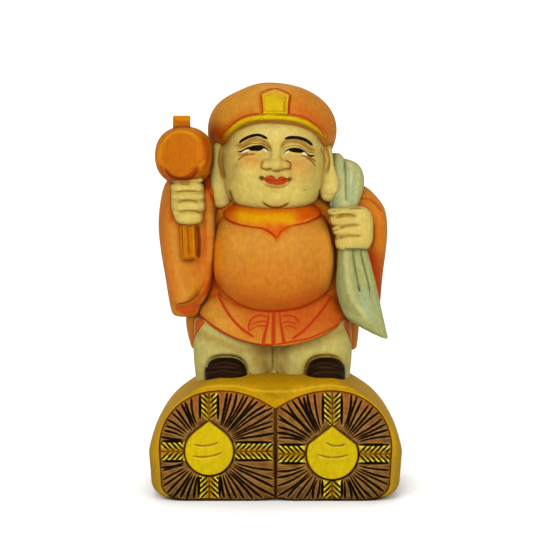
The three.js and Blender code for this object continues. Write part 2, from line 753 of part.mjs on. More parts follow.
const paintedWood = new THREE.MeshStandardMaterial({ color: 0xd9782f, roughness: 0.55, metalness: 0 });
const figure = new THREE.Mesh(geometryOf(daikoku()), paintedWood);
figure.name = "daikoku_figure";

const part = new THREE.Group();
part.add(figure);
export default part;
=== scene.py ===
from collections import namedtuple
from math import cos, pi, radians, sin

import bpy
import numpy as np
from mathutils import Matrix, Vector


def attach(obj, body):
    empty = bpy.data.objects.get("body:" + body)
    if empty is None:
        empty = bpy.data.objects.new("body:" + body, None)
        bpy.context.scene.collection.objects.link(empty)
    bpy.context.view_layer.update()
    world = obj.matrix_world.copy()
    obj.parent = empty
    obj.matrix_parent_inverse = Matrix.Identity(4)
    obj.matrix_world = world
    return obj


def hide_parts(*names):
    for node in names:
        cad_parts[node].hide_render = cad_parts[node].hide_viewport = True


# The finish of the carved and painted daikoku figure on its two rice bales, as smooth implicit solids in the
# CAD model's own frame. Drawn millimetres: x and y are the CAD model's, and z counts from the soles
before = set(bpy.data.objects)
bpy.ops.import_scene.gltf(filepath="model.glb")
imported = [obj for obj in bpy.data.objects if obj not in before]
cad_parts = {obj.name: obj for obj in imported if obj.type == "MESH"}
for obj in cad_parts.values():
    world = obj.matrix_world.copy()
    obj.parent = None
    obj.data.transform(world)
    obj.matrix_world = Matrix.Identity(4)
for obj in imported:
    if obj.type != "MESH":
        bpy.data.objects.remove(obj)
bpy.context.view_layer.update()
NODE = "daikoku_figure"
BODY = "root"

# The camera, with the photograph's frame of 533 pixels
frame_pixels = 533
lens_pixels = 2704
aim_pixel = (275.5, 293.19)
aim_height = 58.0
camera_distance = 800.0
camera_pitch = radians(6.5)

# Sizes of the CAD model, in millimetres
bale_length = 46.0
bale_width = 34.0
bale_height = 32.6
bale_spring = 15.0
waist_spring = 13.0
bale_bulge = 3.1
bale_rise = 3.0
back_drop = 2.0
valley_depth = 5.3
saddle_depth = 0.3
seam_notch = 0.7
corner_width = 9.0
corner_height = 5.5
side_taper = 0.6
jewel_slope = radians(38)
jewel_relief = 0.7
jewel_crown = 0.22
Jewel = namedtuple("Jewel", "x z radius point")
jewels = (Jewel(-19.2, 14.6, 7.05, 9.0), Jewel(16.4, 13.8, 7.45, 8.3))
sole_sink = 0.6
stand_height = bale_height + bale_rise - sole_sink

coarser = 1.0

# Millimetres to a pixel at the figure
pixel_size = camera_distance / lens_pixels

# Paint keeps this share of its look, so that the floor can be white, less what gloss adds
exposure = 0.54
gloss_light = 0.003
darkest = 0.001

# Keeps divisions away from zero
tiny = 1e-9


def rows(*values):
    return np.array(values, float)


def blend_step(value, start, end):
    share = np.clip((value - start) / (end - start), 0, 1)
    return share * share * (3 - 2 * share)


def soft_min(a, b, width):
    near = np.maximum(width - np.abs(a - b), 0) / width
    return np.minimum(a, b) - near * near * width / 4


def soft_max(a, b, width):
    return -soft_min(-a, -b, width)


def spline(table, count):
    """That many rows along a Catmull-Rom spline through the rows of a table."""
    table = np.asarray(table, float)
    place = np.linspace(0, len(table) - 1, count)
    i = np.minimum(place.astype(int), len(table) - 2)
    t = (place - i)[:, None]
    p, q, r, s = (table[np.clip(i + n, 0, len(table) - 1)] for n in (-1, 0, 1, 2))
    return q + 0.5 * t * (r - p + t * (2 * p - 5 * q + 4 * r - s + t * (3 * (q - r) + s - p)))


# Forms: a distance from each point to the surface, negative inside, and the box that holds the form
Form = namedtuple("Form", "name distance low high blend cut")
SKIN = 3.0
far_away = 50.0


def form(name, distance, low, high, blend=0.3, cut=False):
    return Form(name, distance, np.array(low, float), np.array(high, float), blend, cut)


def measure(shape, points):
    """Distance to one form, exact near it and at least SKIN elsewhere."""
    gap = np.maximum(shape.low - points, points - shape.high).max(1)
    near = gap < SKIN
    result = np.maximum(gap, SKIN)
    if near.any():
        result[near] = shape.distance(points[near])
    return result


def union(forms, points):
    total = np.full(len(points), far_away)
    for shape in forms:
        distance = measure(shape, points)
        if shape.cut:
            total = soft_max(total, -distance, shape.blend)
        else:
            total = soft_min(total, distance, shape.blend)
    return total


def round_distance(shares, radii, power):
    """Distance to a superellipse or superellipsoid, from the shares of its radii at each point."""
    reach = np.maximum((shares ** power).sum(0) ** (1 / power), 1e-6)
    slope = np.sqrt((((shares / reach) ** (power - 1) / radii) ** 2).sum(0))
    return (reach - 1) / np.maximum(slope, 1e-6)


def column(name, stations, power=2.3, edge=1.0, **more):
    """An upright form: each station is [z, middle x, half width, front y, back y]."""
    table = spline(stations, 160)
    heights = table[:, 0]

    def distance(p):
        middle, half, front, back = (np.interp(p[:, 2], heights, table[:, n]) for n in (1, 2, 3, 4))
        depth = (back - front) / 2
        shares = np.array([np.abs(p[:, 0] - middle) / half, np.abs(p[:, 1] - (front + back) / 2) / depth])
        side = round_distance(shares, np.array([half, depth]), power)
        ends = np.maximum(heights[0] - p[:, 2], p[:, 2] - heights[-1])
        return soft_max(side, ends, edge)

    low = [(table[:, 1] - table[:, 2]).min(), table[:, 3].min(), heights[0]]
    high = [(table[:, 1] + table[:, 2]).max(), table[:, 4].max(), heights[-1]]
    return form(name, distance, low, high, **more)


def turned(turn):
    """Rotation matrix for turns about x, y and z, in radians, the last one first."""
    x, y, z = (Matrix.Rotation(angle, 3, axis) for angle, axis in zip(turn, "XYZ"))
    return np.array(x @ y @ z)


def turned_form(name, centre, half, turn, local_distance, **more):
    """A form known by the distance to it in its own turned frame, from its middle."""
    spin = turned(turn)
    centre = np.array(centre, float)
    reach = np.abs(spin) @ half

    def distance(p):
        return local_distance((p - centre) @ spin)

    return form(name, distance, centre - reach, centre + reach, **more)


def lump(name, centre, radii, power=2.0, turn=(0, 0, 0), **more):
    """A superellipsoid."""
    radii = np.array(radii, float)

    def distance(local):
        return round_distance(np.abs(local).T / radii[:, None], radii[:, None], power)

    return turned_form(name, centre, radii, turn, distance, **more)


def block(name, centre, half, turn=(0, 0, 0), rounding=0.3, **more):
    """A box with rounded edges, from its half sizes."""
    half = np.array(half, float)

    def distance(local):
        out = np.abs(local) - half + rounding
        return np.linalg.norm(np.maximum(out, 0), axis=1) + np.minimum(out.max(1), 0) - rounding

    return turned_form(name, centre, half, turn, distance, **more)


def barrel(name, centre, profile, turn, power=2.25, edge=0.8, **more):
    """A turned form about its own y axis: the profile is [y, radius]."""
    table = spline(profile, 80)
    ends = table[[0, -1], 0]
    widest = table[:, 1].max()

    def distance(local):
        radius = np.interp(local[:, 1], table[:, 0], table[:, 1])
        side = (np.abs(local[:, [0, 2]]) ** power).sum(1) ** (1 / power) - radius
        return soft_max(side, np.maximum(ends[0] - local[:, 1], local[:, 1] - ends[1]), edge)

    return turned_form(name, centre, np.array([widest, ends[1], widest]), turn, distance, **more)


def from_segment(points, a, b):
    """Each point's place along a segment, from 0 to 1, and its offset from there."""
    along = b - a
    t = np.clip(((points - a) @ along) / max(along @ along, tiny), 0, 1)
    return t, points - a - t[:, None] * along


def nearest_on(points, path):
    """For each point: the place along a path as a fractional index, and the offset from the path there."""
    best = np.full(len(points), np.inf)
    place = np.zeros(len(points))
    offset = np.zeros_like(points)
    for n, (a, b) in enumerate(zip(path[:-1], path[1:])):
        t, off = from_segment(points, a, b)
        size = (off * off).sum(1)
        closer = size < best
        best[closer] = size[closer]
        place[closer] = n + t[closer]
        offset[closer] = off[closer]
    return place, offset


def strand(name, stations, wide=(1, 0, 0), detail=5, **more):
    """A form swept along a path: each station is [x, y, z, half width, half thickness]."""
    table = spline(stations, detail * (len(stations) - 1) + 1)
    path = table[:, :3]
    along = np.gradient(path, axis=0)
    along /= np.linalg.norm(along, axis=1)[:, None]
    thick = np.cross(along, np.array(wide, float))
    thick /= np.linalg.norm(thick, axis=1)[:, None]
    across = np.cross(thick, along)

    def distance(p):
        place, offset = nearest_on(p, path)
        index = np.arange(len(path))

        def here(values):
            return np.interp(place, index, values)

        def part(frame_axis):
            axis = np.stack([here(frame_axis[:, n]) for n in range(3)], 1)
            return np.abs((offset * axis).sum(1))

        half = here(table[:, 3])
        depth = here(table[:, 4])
        end = np.minimum(half, depth)
        radii = np.array([half, depth, end])
        return round_distance(np.array([part(across), part(thick), part(along)]) / radii, radii, 2.0)

    size = table[:, 3:].max()
    return form(name, distance, path.min(0) - size, path.max(0) + size, **more)


def patch_distance(flat, outline):
    """Signed distance in a plane to a closed outline, negative inside."""
    best = np.full(len(flat), np.inf)
    inside = np.zeros(len(flat), bool)
    for a, b in zip(outline, np.roll(outline, -1, axis=0)):
        off = from_segment(flat, a, b)[1]
        best = np.minimum(best, (off * off).sum(1))
        level = (a[1] > flat[:, 1]) != (b[1] > flat[:, 1])
        across, height = b - a
        height = height if abs(height) > tiny else tiny
        inside ^= level & (flat[:, 0] < a[0] + across * (flat[:, 1] - a[1]) / height)
    return np.sqrt(best) * np.where(inside, -1, 1)


def closed_curve(outline, count=6):
    """A smooth closed outline through a few points."""
    points = np.asarray(outline, float)
    padded = np.concatenate([points[-2:], points, points[:3]])
    smooth = spline(padded, count * (len(padded) - 1) + 1)
    return smooth[2 * count:(len(points) + 2) * count]


def slab(name, outline, front, back, rounding=0.5, curved=True, **more):
    """A slab seen from the front: the outline is in x and z."""
    shape = closed_curve(outline) if curved else np.asarray(outline, float)

    def distance(p):
        flat = patch_distance(p[:, [0, 2]], shape) + rounding
        deep = np.maximum(front - p[:, 1], p[:, 1] - back) + rounding
        outside = np.hypot(np.maximum(flat, 0), np.maximum(deep, 0))
        return outside + np.minimum(np.maximum(flat, deep), 0) - rounding

    low = [shape[:, 0].min(), front, shape[:, 1].min()]
    high = [shape[:, 0].max(), back, shape[:, 1].max()]
    return form(name, distance, low, high, **more)


def common(shape, other, blend=0.3, sign=1):
    """What two forms share."""
    def distance(p):
        return soft_max(shape.distance(p), sign * measure(other, p), blend)

    return shape._replace(distance=distance)


def carved(shape, cutter, blend=0.3):
    """One form less another."""
    return common(shape, cutter, blend, sign=-1)


# The surface of a union of forms, as one closed mesh
def near_field(forms, low, counts, pitch, stride=4, reach=4.5):
    """The distance on a grid, worked out finely only within reach of the surface."""
    axes = [low[n] + pitch[n] * np.arange(counts[n]) for n in range(3)]
    grids = np.meshgrid(*[axis[::stride] for axis in axes], indexing="ij")
    rough = union(forms, np.stack([g.ravel() for g in grids], 1)).reshape(grids[0].shape)
    field = rough
    for n in range(3):
        field = np.repeat(field, stride, axis=n)
    field = np.ascontiguousarray(field[:counts[0], :counts[1], :counts[2]])
    spots = np.argwhere(np.abs(field) < reach)
    points = np.stack([axes[n][spots[:, n]] for n in range(3)], 1)
    field[tuple(spots.T)] = union(forms, points)
    return field


def largest_island(points, faces):
    """Leaves out every part but the largest, such as a hollow between forms."""
    label = np.arange(len(points))
    edges = np.concatenate([faces[:, [n, (n + 1) % 4]] for n in range(4)])
    while True:
        lowest = np.minimum(label[edges[:, 0]], label[edges[:, 1]])
        update = label.copy()
        np.minimum.at(update, edges[:, 0], lowest)
        np.minimum.at(update, edges[:, 1], lowest)
        update = update[update]
        if (update == label).all():
            break
        label = update
    names, sizes = np.unique(label, return_counts=True)
    keep = label == names[sizes.argmax()]
    renumber = np.cumsum(keep) - 1
    return points[keep], renumber[faces[keep[faces[:, 0]]]]


tightening_rounds = 3
least_slope = 0.2


def skin(forms, pitch):
    """A closed quad mesh on the union of the forms, by surface nets, drawn tight to the true surface."""
    pitch = np.array(pitch) * coarser
    solids = [shape for shape in forms if not shape.cut]
    low = np.min([shape.low for shape in solids], axis=0) - 3 * pitch
    high = np.max([shape.high for shape in solids], axis=0) + 3 * pitch
    counts = np.ceil((high - low) / pitch).astype(int) + 1
    field = near_field(forms, low, counts, pitch)
    inside = field < 0
    strides = np.array([counts[1] * counts[2], counts[2], 1])
    flat = field.ravel()
    cells, crossings, quads = [], [], []
    for axis in range(3):
        u, v = (axis + 1) % 3, (axis + 2) % 3
        first = [slice(None)] * 3
        second = [slice(None)] * 3
        first[axis] = slice(None, -1)
        second[axis] = slice(1, None)
        spots = np.argwhere(inside[tuple(first)] != inside[tuple(second)])
        start = spots @ strides
        here, there = flat[start], flat[start + strides[axis]]
        point = spots.astype(float)
        point[:, axis] += here / (here - there)
        ring = [start - strides[u] - strides[v], start - strides[v], start, start - strides[u]]
        cells += ring
        crossings += [point] * 4
        quad = np.stack(ring, 1)
        quads.append(np.where((here < 0)[:, None], quad, quad[:, ::-1]))
    names, index = np.unique(np.concatenate(cells), return_inverse=True)
    stacked = np.concatenate(crossings)
    total = np.bincount(index)
    points = np.stack([np.bincount(index, stacked[:, n]) / total for n in range(3)], 1) * pitch + low
    faces = np.searchsorted(names, np.concatenate(quads))
    points, faces = largest_island(points, faces)
    for _ in range(tightening_rounds):
        value, slope = field_and_slope(forms, points)
        size = np.maximum((slope * slope).sum(1), least_slope)
        points -= np.clip(value / size, -pitch.min() / 2, pitch.min() / 2)[:, None] * slope
    return points, faces


def field_and_slope(forms, points, step=0.03):
    value = union(forms, points)
    slope = np.stack([(union(forms, points + step * np.eye(3)[n]) - value) / step for n in range(3)], 1)
    return value, slope


def route_of(route):
    """The points of a route, written as x,y pairs."""
    return np.array([pair.split(",") for pair in route.split()], float)


def pixel_of(points):
    """Where points in drawn millimetres show in the photograph."""
    rise = points[:, 2] + stand_height - aim_height
    away = camera_distance + points[:, 1] * cos(camera_pitch) - rise * sin(camera_pitch)
    up = rise * cos(camera_pitch) + points[:, 1] * sin(camera_pitch)
    return np.array(aim_pixel) + lens_pixels * np.stack([points[:, 0], -up], 1) / away[:, None]


def normals_of(points, faces):
    """Outward directions at the points of a mesh of quads."""
    corner = points[faces]
    normal = np.cross(corner[:, 2] - corner[:, 0], corner[:, 3] - corner[:, 1])
    total = np.stack([
        np.bincount(faces.ravel(), np.repeat(normal[:, n], 4), len(points)) for n in range(3)
    ], 1)
    return total / np.maximum(np.linalg.norm(total, axis=1), tiny)[:, None]


# Depths y between which the front is looked for, and the step
search_depths = (-31, 14, 0.12)


def front_of(forms, flat):
    """Depth y of the front of a union of forms at each x and z, looking along +y."""
    depths = np.arange(*search_depths)
    points = np.repeat(np.stack([flat[:, 0], np.zeros(len(flat)), flat[:, 1]], 1), len(depths), axis=0)
    points[:, 1] = np.tile(depths, len(flat))
    inside = (union(forms, points) < 0).reshape(len(flat), -1)
    return depths[inside.argmax(1)]


def at_pixels(pixels, depth):
    """Drawn x and z of pixels of the photograph, at a depth y."""
    pixels = np.asarray(pixels, float)
    across = pixels[:, 0] - aim_pixel[0]
    up = aim_pixel[1] - pixels[:, 1]
    rise = up * (camera_distance + depth * cos(camera_pitch)) - lens_pixels * depth * sin(camera_pitch)
    rise = rise / (lens_pixels * cos(camera_pitch) + up * sin(camera_pitch))
    away = camera_distance + depth * cos(camera_pitch) - rise * sin(camera_pitch)
    return np.stack([across * away / lens_pixels, aim_height + rise - stand_height], 1)


def on_front(forms, pixels, guess=-15.0):
    """Points of the front of the forms that show at those pixels."""
    depth = np.full(len(pixels), guess)
    for _ in range(3):
        flat = at_pixels(pixels, depth)
        depth = front_of(forms, flat)
    return np.stack([flat[:, 0], depth, flat[:, 1]], 1)


def groove(forms, pixels, width, depth, name="groove", blend=0.25, taper=0.5):
    """A cut that follows the front of the forms along pixels of the photograph."""
    pixels = spline(pixels, 4 * len(pixels))
    points = on_front(forms, pixels)
    share = np.linspace(0, 1, len(points))
    size = np.maximum(np.sin(pi * share), 0) ** taper * 0.9 + 0.1
    half = width / 2 * size
    points[:, 1] += depth * size - half
    stations = np.column_stack([points, half, half])
    return strand(name, stations, wide=(0, 1, 0), detail=1, blend=blend, cut=True)


# Trousers with a cleft between the legs, and shoes in the openings of their hems: [middle x, half width]
shoes = [(-14.5, 6.2), (14.6, 5.8)]
shoe_grooves = (2.4, 3.7)


def leg(x, half_width):
    return column("trousers", [
        [-5, x, half_width - 0.9, -10.6, 11.5],
        [-1, x, half_width - 0.5, -11.8, 12],
        [4, x, half_width, -12.6, 12.5],
        [9, x, half_width + 0.1, -12.2, 12.5],
        [16, x, half_width - 0.4, -10, 12],
    ], power=3)


def shoe_opening(x, half_width):
    return lump("opening", [x, -15, 0.3], [half_width + 0.6, 6.5, 6.3], power=2.6, blend=0.5, cut=True)


def shoe(x, half_width):
    """The upper of a shoe, with two grooves that run round its toe."""
    upper = lump("shoe", [x, -11, 0.3], [half_width, 6.8, 5.3], power=2.5, blend=0.1)
    turns = np.linspace(-1, 1, 7) * 1.1
    for z in shoe_grooves:
        stations = [[x + half_width * sin(turn), -11.2 - 6.2 * cos(turn), z, 0.3, 0.3] for turn in turns]
        upper = carved(upper, strand("shoe", stations, wide=(0, 0, 1), detail=2), 0.3)
    return upper


def legs():
    middle = [[-5, -0.3, 2, -6.4, 8], [4, -0.3, 2, -8, 8], [16, -0.3, 2, -7.4, 8]]
    return [
        leg(-12.3, 11.9),
        leg(11.1, 11.4)._replace(blend=3),
        column("cleft", middle, power=2, blend=2.5),
        *(shoe_opening(*place) for place in shoes),
        *(shoe(*place) for place in shoes),
    ]


# The robe: trunk, the tail beside the legs and the short front with its hem lowest in the middle
def robe_core():
    return column("back", [
        [6, -0.4, 18, -8, 12],
        [14, -0.4, 21, -9.5, 14],
        [30, -0.4, 21.2, -9, 15.5],
        [46, -0.4, 20, -7.5, 14.5],
        [51, -0.4, 16.5, -6, 12],
        [54.5, -0.4, 11, -4, 9],
    ], power=2.5)


def robe_tail():
    return column("tail", [
        [5.4, -0.3, 24, -1, 15.2],
        [7, -0.5, 24.9, -2, 15.8],
        [14, -0.9, 25.8, -4, 16],
        [22, -0.8, 24.8, -5, 16],
        [28, -0.6, 21, -5, 15],
    ], power=2.8, edge=0.8)


# The short front: its profile is [share of the way down, half width, front y], and its hem is an arc
skirt_top = 26.0
skirt_back = 9.0
skirt_middle = -0.6
skirt_profile = [[0, 17.5, -9], [0.35, 19.6, -11.6], [0.7, 21.4, -14.2], [0.95, 22, -15.6], [1, 22, -15.7]]
hem_height = 9.2
hem_rise = 6.8
hem_half_width = 21.5


def robe_front():
    table = spline(skirt_profile, 60)

    def distance(p):
        hem = hem_height + hem_rise * (p[:, 0] / hem_half_width) ** 2
        down = np.clip((skirt_top - p[:, 2]) / (skirt_top - hem), 0, 1)
        half = np.interp(down, table[:, 0], table[:, 1])
        front = -np.interp(down, table[:, 0], table[:, 2])
        depth = np.where(p[:, 1] < 0, front, skirt_back)
        shares = np.array([np.abs(p[:, 0] - skirt_middle) / half, np.abs(p[:, 1]) / depth])
        side = round_distance(shares, np.array([half, depth]), 2.4)
        return soft_max(side, np.maximum(hem - p[:, 2], p[:, 2] - skirt_top), 0.7)

    return form("skirt", distance, [-22.8, -16, 9], [21.6, skirt_back, skirt_top])


belly_centre = (-0.6, -2.2, 34)
belly_radii = rows(18.3, 16.3, 17.5)


def belly(extra=0.0, name="belly"):
    return lump(name, belly_centre, belly_radii + extra, power=2.45)


collar_edge = route_of(
    "222.5,216.2 229.1,220.7 239.9,224.9 252.3,227 261.4,227.8 269.7,231.1 274.4,235.6 276.4,239.8 "
    "278.2,235.6 281.3,231.1 289.6,226.1 306.2,222.8 321.1,216.2"
)
collar_depth = -14.0
collar_relief = 0.8


def collar():
    flat = at_pixels(collar_edge, collar_depth)
    outline = np.concatenate([flat, [[13, 53], [-14, 53]]])
    return common(belly(collar_relief, "collar"), slab("collar", outline, -30, -2, 0.2, curved=False), 0.5)


def raised_sleeve():
    """The sleeve of the arm that lifts the mallet: arm, flat front, shoulder behind and the fold."""
    arm = column("left_sleeve", [
        [16.2, -26.6, 2.6, -3, 3],
        [18, -26.4, 4.5, -5.2, 6.6],
        [28, -26.3, 6.4, -6.4, 10],
        [36, -26.3, 7.7, -6.4, 11],
        [43, -26.5, 8.1, -6.4, 11],
        [50, -26.8, 7.2, -6, 10],
        [55.5, -27.1, 5.4, -5, 8],
        [58.5, -26.6, 3, -3, 5],
    ], power=2.5)
    front = slab("left_sleeve", [
        [-30.4, 55], [-32.5, 48.5], [-33.1, 42], [-32.3, 32], [-30.6, 23.6], [-28.6, 20.4],
        [-25.2, 21.6], [-22.2, 25.6], [-20.9, 31], [-20.6, 42], [-21, 53], [-25, 57],
    ], -9.4, -2, 1.9, blend=1.0)
    shoulder = lump("recess", [-19.6, 0, 51], [3.2, 6, 8.4])
    fold = strand("left_sleeve", [
        [-19.8, -5.4, 53, 1.7, 3],
        [-19.7, -6.4, 46, 2, 3.6],
        [-19.6, -6.8, 38, 2.2, 3.8],
        [-20, -6.4, 31, 2.1, 3.4],
        [-21.2, -5.2, 25, 1.8, 2.6],
        [-22, -3.6, 22, 1.2, 2],
    ], blend=1.6)
    return [arm, front, shoulder, fold]


def lowered_sleeve():
    return [column("right_sleeve", [
        [17, 26.8, 2.8, -3.5, 3.5],
        [19, 26.4, 4.4, -5, 6],
        [28, 25.5, 6.2, -6, 9],
        [36, 25.3, 7.4, -6.5, 10.5],
        [42, 25.4, 7.7, -6.5, 11],
        [47.5, 24.9, 7.5, -6, 10.5],
        [51.2, 23.7, 6.4, -5, 9.5],
        [54.4, 21.6, 5, -3, 8],
        [56.5, 18, 3, -1, 6],
    ], power=2.4)]


# The relief of the face as smooth swellings: [x, z, half width, half height, rise]
face_relief = rows(
    [-8, 59.4, 5, 4.6, 1.5],
    [7.6, 59.2, 5, 4.6, 1.5],
    [-6.3, 71, 5, 1.7, 0.5],
    [6.4, 70.2, 5, 1.7, 0.5],
    [-6.5, 66.6, 3.6, 1.5, 0.5],
    [6.6, 66, 3.6, 1.5, 0.5],
    [-6.4, 64.3, 4.2, 0.8, -0.5],
    [6.5, 63.8, 4.2, 0.8, -0.5],
    [-2.6, 66.2, 1, 2.2, -0.7],
    [2.6, 66, 1, 2.2, -0.7],
    [0, 66.2, 1.5, 3.6, 0.9],
    [0, 52.4, 4.2, 2.2, 0.9],
    [0, 55.3, 4, 0.7, -0.5],
    [-5, 58, 1, 1.1, -0.7],
    [4.9, 57.5, 1, 1.1, -0.7],
)


def skull():
    base = column("face", [
        [47.6, -0.4, 5, -10, 2],
        [50.2, -0.5, 11.6, -15, 9],
        [53.2, -0.6, 14, -16, 12],
        [57.5, -0.6, 15.1, -15.9, 14],
        [62.5, -0.6, 15.1, -15.6, 15],
        [67.5, -0.5, 14.8, -15.4, 15],
        [72.5, -0.4, 14.1, -14.9, 14],
        [78, 0, 9, -10, 10],
    ], power=2.35)

    def distance(p):
        rise = np.zeros(len(p))
        for x, z, half_width, half_height, height in face_relief:
            rise += height * np.exp(-((p[:, 0] - x) / half_width) ** 2 - ((p[:, 2] - z) / half_height) ** 2)
        moved = p.copy()
        moved[:, 1] += rise * blend_step(-p[:, 1], 2, 12)
        return base.distance(moved)

    return base._replace(distance=distance, low=base.low - [0, 2, 0])


# Folds over the eyes and under the chin: [route in pixels of the photograph, width, depth]
face_folds = (
    ("236.3,145.4 244,144.4 252,139.8 260.3,140.3 266.4,145.4 271,150.5", 1.0, 0.35),
    ("281.7,147.4 286.8,141.6 293,140.3 301.1,142.3 308.3,146.4 314.4,150", 1.0, 0.35),
    ("263.2,202.9 268.5,206.6 275.6,208.2 282.8,206.6 288.2,203.4", 0.5, 0.25),
)


def head():
    nose = [[0, -15.2, 67.4, 1, 0.8], [0, -16.2, 65, 1.2, 1], [0, -17, 63, 1.6, 1.3]]
    face = [
        skull(),
        strand("face", nose, blend=1.0),
        lump("face", [0, -16.5, 62.2], [2.2, 2.3, 1.8], blend=0.7),
        lump("face", [-2.6, -15.9, 62], [1.7, 1.9, 1.7], blend=0.5),
        lump("face", [2.6, -15.9, 61.9], [1.7, 1.9, 1.7], blend=0.5),
        lump("face", [-1.3, -16.2, 58.3], [1.9, 1, 0.75], turn=(0, radians(12), 0), blend=0.4),
        lump("face", [1.4, -16.2, 58.2], [1.9, 1, 0.75], turn=(0, radians(-12), 0), blend=0.4),
        lump("face", [0.1, -16.2, 57.1], [2.9, 1.2, 0.9], blend=0.25),
    ]
    folds = [groove(face, route_of(route), width, depth, blend=0.5) for route, width, depth in face_folds]
    return face + folds + ears()


def ear(name, stations, hollow):
    """A long-lobed ear with its hollow."""
    return carved(strand(name, stations, blend=0.4), strand(name, hollow), 0.5)


def ears():
    left = ear("left_ear", [
        [-15.6, -1.6, 68, 1.5, 1],
        [-16.6, -2.4, 65, 2, 1.8],
        [-17, -3, 59.5, 2.2, 2.2],
        [-16.3, -3.8, 54.4, 3.1, 2.9],
        [-16.3, -4, 52.6, 3.5, 2.7],
        [-16.2, -3.9, 50.6, 3, 2],
    ], [[-15.8, -4.6, 67, 0.7, 0.7], [-16, -5.4, 62.4, 1.2, 1], [-15.2, -6, 58, 0.5, 0.5]])
    right = ear("right_ear", [
        [14.4, -1.6, 68, 1.3, 1],
        [15, -2.4, 65.4, 1.6, 1.8],
        [15.4, -3.6, 60.6, 1.9, 2.2],
        [15.9, -4.8, 57, 2.8, 2.6],
        [16.3, -5.7, 54, 3.6, 2.9],
        [16.3, -5.9, 52.6, 3.2, 2.2],
    ], [[14.6, -4.4, 67, 0.6, 0.6], [14.9, -5.2, 63, 1, 1], [15.2, -6, 58.6, 0.4, 0.4]])
    return [left, right]


# The cap: tilted back, rolled to one side and leaning by a share of its height, with a dent of [x, half
# width, depth]. The brim arches over the brow by [x, drop], and its trim follows pixels of the photograph
hat_tilt = radians(29)
hat_roll = radians(6.5)
hat_lean = 0.085
hat_centre = rows(-1, 2, 71)
hat_radii = rows(19.1, 20, 11.7)
hat_dent = (-12, 5, 0.8)
brim_drop = 5.3
brim_arch = rows(
    [-30, 5.1], [-17.5, 5.3], [-15.6, 6.4], [-13.7, 7.1], [-12, 6.2], [-9.8, 5.6], [-6.5, 5.1], [-3, 5],
    [1, 5.25], [5, 5.5], [8.5, 5.9], [11.5, 6.4], [13.9, 7], [16, 6.2], [30, 5.3],
)
trim_pixels = route_of(
    "223.6,138.5 227.2,133.4 231.4,128.8 236.6,124.6 242.6,121 249.8,118.6 259.3,117 274.6,116.8 "
    "287,117.6 298.5,119.8 307.6,123.2 315,127.4 321,132 325.6,137"
)
trim_count = 40
trim_drop = 0.2
trim_thickness = 0.6
plaque_outline = rows([-3.9, 76.6], [-4.3, 82.2], [-0.2, 83.7], [4, 82.2], [3.6, 76.6])
plaque_border = 0.85
plaque_relief = 0.45
border_relief = 0.95


def crown(extra=0.0, name="hat"):
    upright = lump(name, hat_centre, hat_radii + extra, power=2.1, turn=(-hat_tilt, hat_roll, 0))

    def distance(p):
        straight = p.copy()
        straight[:, 0] -= hat_lean * (p[:, 2] - hat_centre[2])
        place, width, depth = hat_dent
        share = np.clip((p[:, 2] - hat_centre[2]) / 6, 0, 1)
        straight[:, 2] += depth * share * np.exp(-((p[:, 0] - place) / width) ** 2)
        return upright.distance(straight)

    return upright._replace(distance=distance, low=upright.low - [2, 0, 0], high=upright.high + [2, 0, 0])


def inset_outline(outline, inset):
    middle = outline.mean(0)
    size = np.abs(outline - middle).max(0)
    return middle + (outline - middle) * (1 - inset / size)


def under_brim(points):
    """How far below the brim points are: it arches over the brow and is flat from the ears back."""
    local = points - hat_centre
    forward = local @ rows(0, -cos(hat_tilt), sin(hat_tilt))
    arch = np.interp(points[:, 0], *brim_arch.T) - brim_drop
    return -local @ rows(0, sin(hat_tilt), cos(hat_tilt)) - brim_drop - arch * blend_step(forward, -5, 6)


def brim_trim(whole):
    """The rounded band along the front of the brim, thinner at its ends."""
    brow = on_front([whole], spline(trim_pixels, trim_count))
    share = np.linspace(0, 1, trim_count)
    size = np.minimum(1, 0.5 + 6 * np.minimum(share, share[::-1]))
    stations = np.column_stack([brow - [0, 0, trim_drop], trim_thickness * size, size])
    return strand("trim", stations, wide=(0, sin(hat_tilt), cos(hat_tilt)), detail=1, blend=0.15)


def plaque_slab(outline):
    return slab("plaque", outline, -30, -5, 0.1, curved=False)


def hat():
    whole = crown()
    shell = whole._replace(distance=lambda p: soft_max(whole.distance(p), under_brim(p), 0.9))
    panel = common(crown(plaque_relief, "plaque"), plaque_slab(plaque_outline))
    border = common(crown(border_relief, "border"), plaque_slab(plaque_outline))
    border = carved(border, plaque_slab(inset_outline(plaque_outline, plaque_border)))
    return [shell, brim_trim(whole), panel._replace(blend=0.1), border._replace(blend=0.1)]


# Fists: fingers one above the other, from [height of the groove below, left x, right x]
def fist(name, fingers, top, front, palm, radii):
    made = [lump(name, palm, radii, power=3)]
    for n, (low, left, right) in enumerate(fingers):
        high = fingers[n + 1][0] if n + 1 < len(fingers) else top
        made.append(lump(
            name, [(left + right) / 2, front + 3.3, (low + high) / 2],
            [(right - left) / 2, 3.3, (high - low) / 2 + 0.25], power=2.7, blend=0.35,
        ))
    return made


def raised_fist():
    return fist("left_hand", [
        (44.7, -29.2, -21.2),
        (48.2, -30, -20.3),
        (51.4, -30.2, -20.6),
        (53.8, -30.4, -20.8),
        (56.6, -30.4, -21),
    ], 58.3, -14.2, [-25.6, -8.6, 51.2], [4.8, 4.6, 7])


def lowered_fist():
    return fist("right_hand", [
        (37, 17.3, 26.6),
        (41.3, 16.4, 26),
        (44.2, 15.5, 25.4),
        (47.2, 15.1, 25),
    ], 49.1, -14.6, [23, -9.6, 43], [5.5, 4.9, 6.6])


# Half of the mallet's profile, from its end to near its middle: [distance from the middle, radius]
mallet_half = [[8, 5.4], [7.6, 6.6], [6.88, 7.2], [4, 8.2]]
mallet_radius = 8.55


